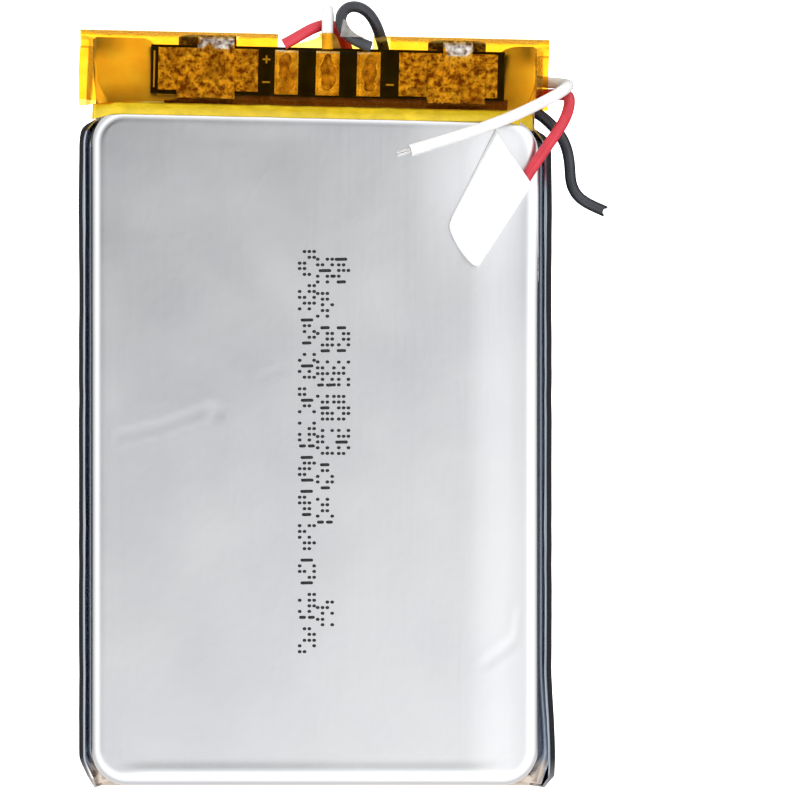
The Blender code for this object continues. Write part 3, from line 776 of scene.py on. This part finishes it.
def make_lead_ends():
    """What is on each lead: the white one's bared tip, the black one's torn end, the red one's core."""
    ends = {}
    for colour, node, wires, collar in (
        ("white", "white_lead_tip", ("bare_tip", 1.4, 0.08, 3), ("cut_end", 0.12, 0.1, 5)),
        ("black", "black_lead_strands", ("cut_strands", 0.3, 0.05, 8), ("torn_end", 0.2, 0.35, 11)),
        ("red", "red_lead_core", ("bare_core", 1.0, 0.03, 13), None),
    ):
        lead, slot, end = colour + "_lead_", colour + "_insulation", LEADS[colour][2:]
        strands = strand_bundle(lead + wires[0], *end, *wires[1:])
        ends[colour] = [finish_piece(strands, "tinned_copper", node)]
        if collar:
            sleeve = cut_collar(lead + collar[0], *end, *collar[1:], PAINTS[slot])
            ends[colour].append(finish_piece(sleeve, slot))
    return ends


LEAD_ENDS = make_lead_ends()


def make_flag():
    """White tape folded over the end of the red lead: a fold over the lead and two free layers."""
    head, tip = Vector((17.0, 17.75)), Vector((12.55, 10.85))
    side_head, side_tip = Vector((-2.62, 4.02)), Vector((-2.2, 3.35))
    steps_along, steps_across, steps_round = 46, 20, 8
    reach, fold, loop = 4.5, 0.5, 0.62
    across = [(reach - (reach - fold) * step / steps_across, -1) for step in range(steps_across + 1)]
    for step in range(1, steps_round):
        angle = math.radians(270 - 180 * step / steps_round)
        across.append((fold + loop * math.cos(angle), math.sin(angle) * 2))
    across += [(fold + (reach - fold) * step / steps_across, 1) for step in range(steps_across + 1)]
    points = []
    for row in range(steps_along + 1):
        t = row / steps_along
        spine = head.lerp(tip, t)
        side = side_head.lerp(side_tip, t)
        for distance, layer in across:
            share = distance / reach
            drop = blend(distance, 0.9, 2.4)
            if abs(layer) == 1:
                top = 6.60 - 0.62 * drop
                low = 5.50 + 0.06 * drop
                height = top if layer > 0 else low
            else:
                height = 6.05 + 0.55 * layer / 2
            round_end = 0.55 * (1 - math.sqrt(max(0.0, 1 - (2 * share - 1) ** 2)))
            pull = blend(t, 0.86, 1.0) * round_end
            slip = 0.22 * blend(share, 0.2, 1.0) * (1 - t) if layer == -1 else 0.0
            spot = spine + side * (share + slip * 0.25) - (tip - head).normalized() * pull
            spot = spot + Vector((0.25, 0.18)) * slip
            curl = 0.10 * blend(share, 0.55, 1.0) * bell(t, 0.15, 0.3) if layer == 1 else 0.0
            wave = 0.03 * ripple(spot.x, spot.y, 0.5, 2.0 + layer)
            points.append((spot.x, spot.y, height + curl + wave * drop))
    flag = sheet("lead_end_tape_flag", points, len(across), PAINTS["white_tape"], 0.07)
    return finish_piece(flag, "white_tape", "lead_end_flag")


FLAG = make_flag()

for lead_colour, (wire, points, *_) in LEADS.items():
    route_length(points) * MM

# ---------------------------------------------------------------- pouch


def grid_lines(half, radius, pitch):
    """Grid lines from -half to half, fine where the corners are rounded."""
    corner = list(np.linspace(half - radius, half, 9))
    count = max(2, round(2 * (half - radius) / pitch))
    straight = list(np.linspace(radius - half, half - radius, count + 1))
    return [-value for value in reversed(corner[1:])] + straight + corner[1:]


def rounded(x, y, half, radius):
    """Bends a rectangular grid's square corners into round ones."""
    over_x = (abs(x) - half.x + radius) / radius
    over_y = (abs(y) - half.y + radius) / radius
    if over_x <= 0 or over_y <= 0:
        return x, y
    bent_x = half.x - radius + radius * over_x * math.sqrt(1 - over_y**2 / 2)
    bent_y = half.y - radius + radius * over_y * math.sqrt(1 - over_x**2 / 2)
    return math.copysign(bent_x, x), math.copysign(bent_y, y)


def distance_to(x, y, line):
    """Distance from a point to a line of points."""
    spot = Vector((x, y))
    best = 99.0
    for start, end in zip(line, line[1:]):
        a, b = Vector(start), Vector(end)
        t = min(max((spot - a).dot(b - a) / (b - a).length_squared, 0.0), 1.0)
        best = min(best, (spot - a.lerp(b, t)).length)
    return best


def sag(x, y):
    """The face's slow droop towards its right edge and its leads' corner."""
    return -0.34 * blend(x, 7.5, 17.4) * bell(y, 17.5, 6.5) - 0.13 * blend(x, 12.0, 17.0)


def face_height(x, y):
    """How far the drawn face stands off its plane: droop, creases, dents and slow waves."""
    edge = min(FACE_HALF.x - abs(x), FACE_HALF.y - abs(y - FACE_CENTRE_Y))
    waves = 0.014 * ripple(x, y * 0.5, 0.10, 3.1) + 0.0025 * ripple(x, y * 0.5, 0.30, 7.7)
    height = waves
    for line, depth, width in CREASES:
        away = distance_to(x, y, line)
        if away < 4 * width:
            height -= depth * bell(away, 0.0, width) - 0.35 * depth * bell(away, 2 * width, width)
    height -= 0.03 * bell(x, -7.7, 0.4) * bell(y, -0.35, 0.4)
    height *= blend(edge, 0.0, 1.4)
    bead = y - (FACE_CENTRE_Y - FACE_HALF.y)
    height += 0.035 * bell(bead, 0.25, 0.42) * blend(FACE_HALF.x - abs(x), 0.5, 4.0)
    return height + sag(x, y)


def lifted(x, y, z):
    """The pouch's shape where its header end leans and its terrace rises off the back plane."""
    rise = TERRACE_LIFT * blend(y, LIFT_START, LIFT_END) * (1 - blend(z, 0.8, THICKNESS))
    lean = math.tan(HEADER_TILT) * (x - HEADER_PIVOT.x) * blend(y, 12.0, 22.0)
    beside = blend(-x, 12.0, 16.5) + blend(x, 14.2, 17.4)
    rise += 0.42 * beside * blend(y, 24.2, 28.4) * (1 - blend(z, 0.8, 2.0))
    return x, y + lean, z + rise


def rim_point(point, normal, side, rim, terrace, square, outer):
    """A point of the sealed rim: each of side, rim and terrace is (distance out, height).

    The rim's bottom corners are square while the cup's are round; square says by how much.
    """
    turned = math.degrees(math.asin(max(-1.0, min(1.0, normal.y))))
    if turned > 0:
        folded = 1 - blend(turned, 15.0, 45.0)
    else:
        folded = 1 - blend(-turned, 41.0, 50.0)
    out = rim[0] + (side[0] - rim[0]) * folded
    height = rim[1] + (side[1] - rim[1]) * folded
    spot = point + normal * out
    if turned < 0:
        across = math.copysign(1.0, normal.x)
        slope = -normal.y / max(abs(normal.x), 1e-6)
        centre = point - normal * CORNER_RADIUS
        corner = Vector((across * min(1.0, 1 / slope), -min(1.0, slope))) * CORNER_RADIUS
        share = blend(-turned, 38.0, 52.0)
        straight = centre + corner + Vector((across * (1 - share), -share)) * out
        spot = spot.lerp(straight, square)
    high = blend(side[1], 0.3, 2.0) * folded
    wave = 0.05 * ripple(spot.y, 0.0, 0.16, 5.0 + outer) + 0.02 * ripple(spot.y, 0.0, 0.6, 9.0)
    tuck = blend(-spot.y, 27.4, 29.9) * folded
    if normal.x > 0:
        flare = 0.30 * blend(-spot.y, 20.0, 28.0) * folded
        spot.x += wave * high + flare - (0.10 + 0.30 * (1 - outer)) * tuck
        spot.y += 0.75 * (1 - outer) * tuck * high
    else:
        spot.x += 0.85 * tuck - wave * high
    height += high * (0.10 * ripple(spot.y, 1.0, 0.2, 13.0 + normal.x))
    flat = blend(normal.y, 0.6, 0.88)
    reach = blend(terrace[0], 0.0, 2.0)
    beside = blend(abs(point.x - HEADER_PIVOT.x), 12.5, 14.5)
    corner = math.copysign(1.3 * blend(abs(normal.x), 0.0, 0.5) * reach, point.x)
    root = max(point.y, CUP_TOP - 0.4)
    root += (CUP_TOP - root) * reach
    level = Vector((point.x + corner, root + terrace[0] * (1 + TERRACE_EARS * beside)))
    spot = spot.lerp(level, flat)
    return Vector((spot.x, spot.y, height + (terrace[1] - height) * flat))


def pouch_skin(name, half, radius, face_z, rings_of, pitch, faces_up):
    """A sheet with a flat middle grid and rings that lead out from its rounded outline."""
    xs = grid_lines(half.x, radius, pitch)
    ys = grid_lines(half.y, radius, pitch)
    columns, rows = len(xs), len(ys)
    flat = []
    for y in ys:
        for x in xs:
            flat.append(rounded(x, y, half, radius))
    points = [lifted(x, y + FACE_CENTRE_Y, face_z(x, y + FACE_CENTRE_Y)) for x, y in flat]
    faces = grid_faces(rows, columns)
    loop = border(rows, columns)
    outline = []
    for index in loop:
        spot = Vector(flat[index])
        inner = half - Vector((radius, radius))
        centre = Vector((min(max(spot.x, -inner.x), inner.x), min(max(spot.y, -inner.y), inner.y)))
        outline.append((spot + Vector((0, FACE_CENTRE_Y)), (spot - centre).normalized()))
    last = loop
    for ring in rings_of(outline):
        start = len(points)
        points += [lifted(*spot) for spot in ring]
        current = list(range(start, start + len(loop)))
        for i in range(len(loop)):
            j = (i + 1) % len(loop)
            faces.append((last[i], current[i], current[j], last[j]))
        last = current
    if not faces_up:
        faces = [face[::-1] for face in faces]
    skin = mesh_object(name, points, faces, FOIL, 50)
    thicken(skin, SHEET, -1.0, CUT_EDGE)
    settle(skin)
    skin.data.shade_smooth()
    skin.data.set_sharp_from_angle(angle=math.radians(55))
    return skin


def rim_rings(outline, start, profile, outer):
    """Rings of the sealed rim, from a line that lies this far outside the outline."""
    for side, rim, terrace, square in profile:
        yield [
            tuple(rim_point(spot + normal * start, normal, side, rim, terrace, square, outer))
            for spot, normal in outline
        ]


def front_rings(outline):
    """Rounded shoulder, drawn wall, then the rim that folds up as flaps along the sides."""
    steps = 9
    for step in range(1, steps + 1):
        angle = math.radians(90 * step / steps)
        out = SHOULDER * math.sin(angle)
        z = THICKNESS - 0.58 * SHOULDER * (1 - math.cos(angle))
        yield [
            (*(spot + normal * out), z + sag(*spot) * math.cos(angle) ** 0.5) for spot, normal in outline
        ]
    for out, z in ((1.01, 4.4), (1.03, 3.4), (1.06, 2.3), (FACE_INSET, 1.1)):
        yield [(*(spot + normal * out), z) for spot, normal in outline]
    yield from rim_rings(outline, FACE_INSET, FRONT_RIM, 0.0)


def back_rings(outline):
    """The flat back's edge, rounding up into the outer layer of the side flaps."""
    return rim_rings(outline, BACK_INSET, BACK_RIM, 1.0)


def make_pouch():
    front = pouch_skin(
        "pouch_front_skin", FACE_HALF, CORNER_RADIUS - FACE_INSET,
        lambda x, y: THICKNESS + face_height(x, y), front_rings, FACE_PITCH, True,
    )
    finish_piece(front, "laminate_foil", "pouch_front_cup")
    back_half = Vector((HALF_WIDTH - BACK_INSET, (CUP_TOP - BASE_BOTTOM) / 2 - BACK_INSET))
    back = pouch_skin(
        "pouch_back_skin", back_half, CORNER_RADIUS - BACK_INSET,
        lambda x, y: 0.012 + 0.012 * ripple(x, y, 0.12, 21.0), back_rings, BACK_PITCH, False,
    )
    finish_piece(back, "laminate_foil", "pouch_back_sheet")


make_pouch()

# ---------------------------------------------------------------- printed code


def make_print():
    """Rows of small ink dots along the cell in the manner of a date code; the shapes stand for nothing."""
    rng = random.Random(47)
    dot_along, dot_across = 0.45, 0.19
    glyph = 6 * dot_along
    radius_along, radius_across = 0.13, 0.155
    lines = ((-0.6, 12.4, 12), (0.82, 11.8, 12), (2.1, 11.8, 6))
    points, faces = [], []

    def dot(x, y, stretch=0.0):
        base = len(points)
        for turn in range(12):
            angle = 2 * math.pi * turn / 12
            px = x + math.cos(angle) * radius_across + math.copysign(stretch / 2, math.cos(angle))
            py = y + math.sin(angle) * radius_along
            points.append((px, py, THICKNESS + face_height(px, py) + 0.012))
        faces.append(tuple(range(base, base + 12)))

    for x, top, count in lines:
        for place in range(count):
            if rng.random() < 0.06:
                continue
            style = rng.randrange(4)
            for column in range(5):
                y = top - place * glyph - column * dot_along + rng.uniform(-0.015, 0.015)
                if (style == 0 and column in (0, 4)) or (style == 1 and column == 2):
                    dot(x + rng.uniform(-0.03, 0.03), y, rng.choice((0.45, 0.7)))
                elif style == 2 and column == 4:
                    dot(x - 0.35, y, 0.25)
                    dot(x + 0.35, y, 0.25)
                else:
                    for spot in sorted(rng.sample(range(-3, 4, 2), rng.choice((2, 2, 3)))):
                        dot(x + spot * dot_across, y)
    ink = mesh_object("printed_code_dots", points, faces, PAINTS["black_ink"])
    thicken(ink, 0.006, -1.0)
    settle(ink)
    finish_piece(ink, None)


make_print()

# ---------------------------------------------------------------- header tape


def tape_profile():
    """The wrap tape's path round the header as (y, z, how much of the top's relief it takes)."""
    radius = (TAPE_TOP - TAPE_UNDER) / 2
    fold_y = 30.1 - 0.44 - radius - TAPE / 2
    middle = (TAPE_TOP + TAPE_UNDER) / 2
    path = [(TAPE_START + (fold_y - TAPE_START) * step / 26, TAPE_TOP, 1.0) for step in range(26)]
    for step in range(25):
        angle = math.radians(90 - 180 * step / 24)
        share = blend(math.degrees(angle), 30.0, 90.0)
        path.append((fold_y + radius * math.cos(angle), middle + radius * math.sin(angle), share))
    path += [(fold_y - (fold_y - 24.1) * step / 18, TAPE_UNDER, -1.0) for step in range(1, 19)]
    return path


def tape_rise(x, y):
    """Relief of the tape's top over the board: it sinks between pads and puckers round them."""
    rise = 0.0
    for pad in PAD_X.values():
        over = bell(x, pad, 0.85)
        rise += 0.10 * over * blend(y, 24.8, 25.6)
        rise += 0.07 * bell(x, pad - 0.95, 0.16) + 0.07 * bell(x, pad + 0.95, 0.16)
        rise -= 0.10 * bell(x, pad + 0.35 * (y - 27.2), 0.14) * blend(y, 27.0, 27.7)
        rise -= 0.10 * bell(x, pad - 0.35 * (y - 27.2), 0.14) * blend(y, 27.0, 27.7)
    for gap in (-3.9, -0.6, 2.65, 5.9):
        rise -= 0.20 * bell(x, gap, 0.55)
    on_board = blend(x, -13.6, -12.9) * (1 - blend(x, 14.7, 15.4))
    rise -= 0.14 * (1 - on_board) * (1 - blend(y, 27.0, 28.4))
    rise += 0.04 * ripple(x * 1.6, y * 0.8, 0.5, 31.0) + 0.02 * ripple(x * 2.0, y, 1.6, 33.0)
    rise += 0.05 * bell(x, 16.9 - 0.14 * (27.5 - y), 0.10) * blend(x, 15.5, 16.0)
    rise += 0.03 * math.sin((x + 0.1 * y) * 5.2) * bell(x, 16.6, 1.1) * (1 - blend(y, 27.2, 28.0))
    rise += 0.24 * (1 - blend(y, 24.2, 24.8))
    return rise


def make_wrap_tape():
    path = tape_profile()
    xs = np.linspace(-TAPE_HALF - 0.3, TAPE_HALF + 0.1, 253)
    points = []
    for y, z, share in path:
        for x in xs:
            left = blend(-x, 17.15 + 0.10 * (28.6 - y), 18.2)
            right = blend(x, 17.15 + 0.06 * (28.0 - y), 18.3)
            pinch = max(left, right)
            edge = 0.06 * ripple(y, x * 0.05, 0.4, 41.0) * blend(abs(x), 17.6, TAPE_HALF)
            if share >= 0:
                height = z + share * tape_rise(x, y) * (1 - pinch)
                height += (PINCHED_TOP - z) * pinch * (1 if share == 1.0 else share)
                lip = 0.07 * ripple(x, 0.0, 0.35, 43.0) - 0.34 * blend(-x, 13.0, 16.0)
                lip *= 1 - blend(y, 24.0, 24.8)
            else:
                height = z + (PINCHED_UNDER - z) * pinch + 0.03 * ripple(x, y, 0.4, 45.0)
                lip = 0.05 * ripple(x, 0.0, 0.3, 47.0) * (1 - blend(y, 24.2, 25.0))
            points.append(on_header(x + edge, y + lip, height))
    tape = sheet("header_amber_wrap", points, len(xs), AMBER, TAPE)
    for outline, low, high in TAPE_CUTS:
        cut(tape, [on_header(x, y, 0.0)[:2] for x, y in outline], low, high)
    tape.data.shade_smooth()
    tape.data.set_sharp_from_angle(angle=math.radians(60))
    finish_piece(tape, "amber_tape", "header_wrap_tape")


make_wrap_tape()


def make_step_tape():
    """Narrow strip from the cup's shoulder down to the board, its ends drooping round the corners. Its tape
    is a lighter, more opaque yellow than the wrap tape: painted highlight for light caught where it crosses
    the shoulder.
    """
    profile = [
        (22.90, 5.37), (23.0, 5.33), (23.1, 5.27), (23.24, 5.17), (23.38, 5.02),
        (23.5, 4.84), (23.62, 4.66), (23.74, 4.48), (23.88, 4.36),
    ]
    xs = np.linspace(-17.5, 17.3, 180)
    points = []
    for y, z in profile:
        for x in xs:
            corner = blend(abs(x + 0.1), 15.2, 17.9)
            drop = corner * (z - 3.75) * 0.6
            slide = corner * (0.6 if x < 0 else 0.8) * (24.6 - y) / 2.1
            sag = 0.05 * ripple(x, y, 0.5, 51.0) * blend(y, 23.1, 23.6)
            points.append(on_header(x, y - slide + 0.03 * ripple(x, 0, 0.4, 53.0), z - drop + sag))
    strip = sheet("step_amber_strip", points, len(xs), LIT_STEP_TAPE, TAPE * 0.8)
    finish_piece(strip, "amber_tape", "step_tape")


def make_shaded_gutter_lining():
    """A dark brown strip lining the gutter between the cup and the board: painted shade for the shadowed
    gutter seen through the tape.
    """
    left, width, rows, columns = -11.9, 27.2, 14, 220

    def place(t, u):
        x = left + width * u
        low = 23.76 + 0.05 * ripple(x, 0.0, 0.5, 111.0)
        high = low + (0.3 + 0.68 * blend(u, 0, 26 / 220)) + 0.04 * ripple(x, 0.0, 0.9, 113.0)
        y = low + (high - low) * t
        z = 3.62 - 0.18 * math.sin(math.pi * t) + 0.03 * ripple(x, y, 1.1, 115.0)
        return on_header(x, y, z)

    # Painted shade: this dark strip stands for the shade in the gutter.
    strip = sheet(
        "gutter_shade_sheet", grid_points(rows, columns, place), columns + 1,
        PAINTS["amber_tape_layers"], 0.12, -1.0,
    )
    finish_piece(strip, "amber_tape")


def make_lead_root_tape():
    """Small tab of amber tape laid over the root of the white lead."""
    rows, columns = 16, 40

    def place(t, u):
        y = 28.2 + 1.45 * t
        left = -2.3 + 2.6 * blend(t, 0.1, 0.9)
        right = 4.2 - 2.45 * blend(t, 0.1, 0.9)
        x = left + (right - left) * u
        arch = 0.52 * bell(x, 1.0, 0.62) * blend(y, 27.95, 28.4)
        fall = 0.5 * blend(y, 28.7, 29.7) * (1 - bell(x, 1.0, 0.8))
        return on_header(x, y, TAPE_TOP + 0.16 + arch - fall)

    tab = sheet("lead_root_tape", grid_points(rows, columns, place), columns + 1, AMBER, TAPE * 0.8)
    finish_piece(tab, "amber_tape")


def make_tape_scrap():
    """Crumpled offcut of clear tape standing in the black lead's loop."""
    near = Vector((2.0, 29.35)), Vector((4.75, 29.3))
    far = Vector((2.25, 30.75)), Vector((4.3, 30.0))
    rows, columns = 14, 20

    def place(t, u):
        spot = near[0].lerp(near[1], u).lerp(far[0].lerp(far[1], u), t)
        z = 5.02 - 0.55 * blend(spot.x, 3.2, 4.8) - 0.25 * t
        z += 0.10 * ripple(spot.x, spot.y, 0.9, 61.0) + 0.05 * math.sin(6 * u + 2 * t)
        return spot.x, spot.y, z

    scrap = sheet("clear_tape_offcut", grid_points(rows, columns, place), columns + 1, CLEAR_TAPE, 0.05)
    finish_piece(scrap, "clear_tape", "clear_tape_scrap")


make_step_tape()
make_shaded_gutter_lining()
make_lead_root_tape()
make_tape_scrap()

# ---------------------------------------------------------------- board details


def slab(name, x_low, x_high, y_low, y_high, z_low, height_at, columns, rows, paint):
    """A closed plate whose top follows height_at(x, y); its base is flat at z_low."""
    xs = np.linspace(x_low, x_high, columns)
    ys = np.linspace(y_low, y_high, rows)
    top = [on_header(x, y, height_at(x, y)) for y in ys for x in xs]
    base = [on_header(x, y, z_low) for y in ys for x in xs]
    size = len(top)
    faces = grid_faces(rows, columns)
    faces += [tuple(size + index for index in face[::-1]) for face in grid_faces(rows, columns)]
    loop = border(rows, columns)
    for a, b in zip(loop, loop[1:] + loop[:1]):
        faces.append((a, size + a, size + b, b))
    return mesh_object(name, top + base, faces, paint, 45)


def make_plates():
    """Tab plates: grained metal with weld pits, their edges slightly rolled over."""
    for name, node, seed in (
        ("left_plate_weld_face", "left_tab_plate", 71.0),
        ("right_plate_weld_face", "right_tab_plate", 75.0),
    ):
        low, high = size_of(node)
        centre = (low.x + high.x) / 2
        half_x, half_y = (3.95, 1.675) if node.startswith("left") else (3.9, 1.725)
        middle_y = 26.65 if node.startswith("left") else 26.6

        def height_at(x, y):
            edge = min(half_x - abs(x - centre), half_y - abs(y - middle_y))
            pits = 0.02 * ripple(x, y, 2.2, seed) + 0.012 * ripple(x, y, 4.5, seed + 1)
            return high.z - 0.02 + min(pits, 0.018) - 0.03 * (1 - blend(edge, 0.0, 0.15))

        plate = slab(
            name, centre - half_x, centre + half_x, middle_y - half_y, middle_y + half_y,
            low.z, height_at, 110, 50, NICKEL,
        )
        finish_piece(plate, "nickel_plate", node)


def make_tabs():
    """The tabs' soft strips: through the seal, round the board's edge and pressed onto their plates."""
    arc_y, arc_z, arc_radius = 28.55, 3.2, 0.83
    path = [(22.3, 2.72), (22.7, 2.68), (23.45, 2.37), (24.7, 2.37), (26.0, 2.37), (27.3, 2.37)]
    path += [
        (arc_y + arc_radius * math.sin(math.radians(turn)), arc_z - arc_radius * math.cos(math.radians(turn)))
        for turn in range(0, 181, 10)
    ]
    bent = len(path)
    path += [(arc_y - (arc_y - 24.35) * step / 40, arc_z + arc_radius) for step in range(1, 41)]
    half = 2.3
    for node, x_tab, waist, seed in (
        ("positive_tab", -8.6, (-0.7, 2.2), 91.0), ("negative_tab", 11.2, (-1.1, 1.25), 95.0),
    ):
        across = np.linspace(-1.0, 1.0, 60)
        points = []
        for index, (y, z) in enumerate(path):
            press = blend(index, bent - 4, bent + 2)
            narrow = blend(index, bent - 14, bent - 8) * (1 - blend(index, bent + 4, bent + 9))
            for share in across:
                turned_in = waist[0] if share < 0 else waist[1]
                x = x_tab + share * (half + (abs(turned_in) - half) * narrow)
                side = blend(abs(share), 0.93, 1.0)
                pits = 0.02 * ripple(x, y, 2.2, seed) + 0.014 * ripple(x, y, 4.5, seed + 1)
                ragged = 0.05 * ripple(x, 0.0, 1.3, seed + 2) * blend(index, bent + 34, bent + 40)
                points.append(on_header(x, y + ragged, z + press * (pits - 0.03 * side)))
        tab = sheet(f"{node}_strip", points, len(across), NICKEL, 0.09)
        finish_piece(tab, "aluminium_tab" if node.startswith("positive") else "nickel_plate", node)


def make_pads_and_joints():
    """Each lead pad is a bright plate with curled edges; on it lies a long, flux-stained joint."""
    half_x, half_y, middle_y = 0.925, 1.75, 26.55
    for index, (colour, x_pad) in enumerate(PAD_X.items()):
        seed = 81.0 + 3 * index

        def pad_height(x, y):
            curl = 0.10 * blend(abs(x - x_pad), half_x - 0.28, half_x)
            flare = 0.10 * blend(y, middle_y + half_y - 0.5, middle_y + half_y) * bell(x, x_pad, 0.9)
            return PAD_TOP - 0.03 + curl + flare + 0.03 * ripple(x, y, 1.3, seed)

        pad = slab(
            colour + "_pad_plate", x_pad - half_x, x_pad + half_x, middle_y - half_y, middle_y + half_y,
            BOARD_TOP + 0.02, pad_height, 34, 60, PAINTS["solder"],
        )
        finish_piece(pad, "solder", colour + "_lead_pad")
        rows, columns = 44, 20

        def joint_place(t, u):
            along, side = 2 * t - 1, 2 * u - 1
            y = middle_y + 0.1 + 1.5 * along
            taper = math.sqrt(max(0.0, 1 - along**4))
            width = (0.56 - 0.12 * blend(along, -0.2, 0.7) + 0.24 * ripple(y, 0.0, 1.1, seed)) * taper
            x = x_pad - 0.08 + 0.40 * ripple(y, 1.0, 0.55, seed + 1) + width * side
            bulge = (0.15 + 0.05 * ripple(x, y, 1.8, seed + 2)) * (1 - side**2) * taper
            return on_header(x, y, PAD_TOP - 0.03 + bulge)

        joint = sheet(
            colour + "_joint_mound", grid_points(rows, columns, joint_place), columns + 1,
            PAINTS["flux_stained_solder"], 0.04, -1.0,
        )
        finish_piece(joint, "solder", colour + "_solder_joint")


def make_board_marks():
    """Printed polarity signs and short copper tracks on the board's face."""
    marks = (
        (-3.85, 27.55, 0.62, 0.14), (-3.85, 27.55, 0.14, 0.62), (-3.85, 25.75, 0.62, 0.14),
        (5.95, 25.75, 0.62, 0.14), (-12.72, 26.6, 0.12, 2.9),
    )
    points, faces = [], []
    for index, (x, y, width, depth) in enumerate(marks):
        level = BOARD_TOP + 0.012 + 0.002 * index
        base = len(points)
        corners = ((-1, -1), (1, -1), (1, 1), (-1, 1))
        for dz in (0.0, 0.012):
            points += [on_header(x + sx * width / 2, y + sy * depth / 2, level + dz) for sx, sy in corners]
        faces.append((base + 3, base + 2, base + 1, base))
        faces.append((base + 4, base + 5, base + 6, base + 7))
        faces += hoop_faces(base, 4, 1, 2)
    legend = mesh_object("board_polarity_marks", points, faces, PAINTS["board_legend"])
    finish_piece(legend, None)


make_plates()
make_tabs()
make_pads_and_joints()
make_board_marks()

boxes = {"cad": cad_bounds, "visual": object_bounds()}
{name: [list(corner) for corner in box] for name, box in boxes.items()}
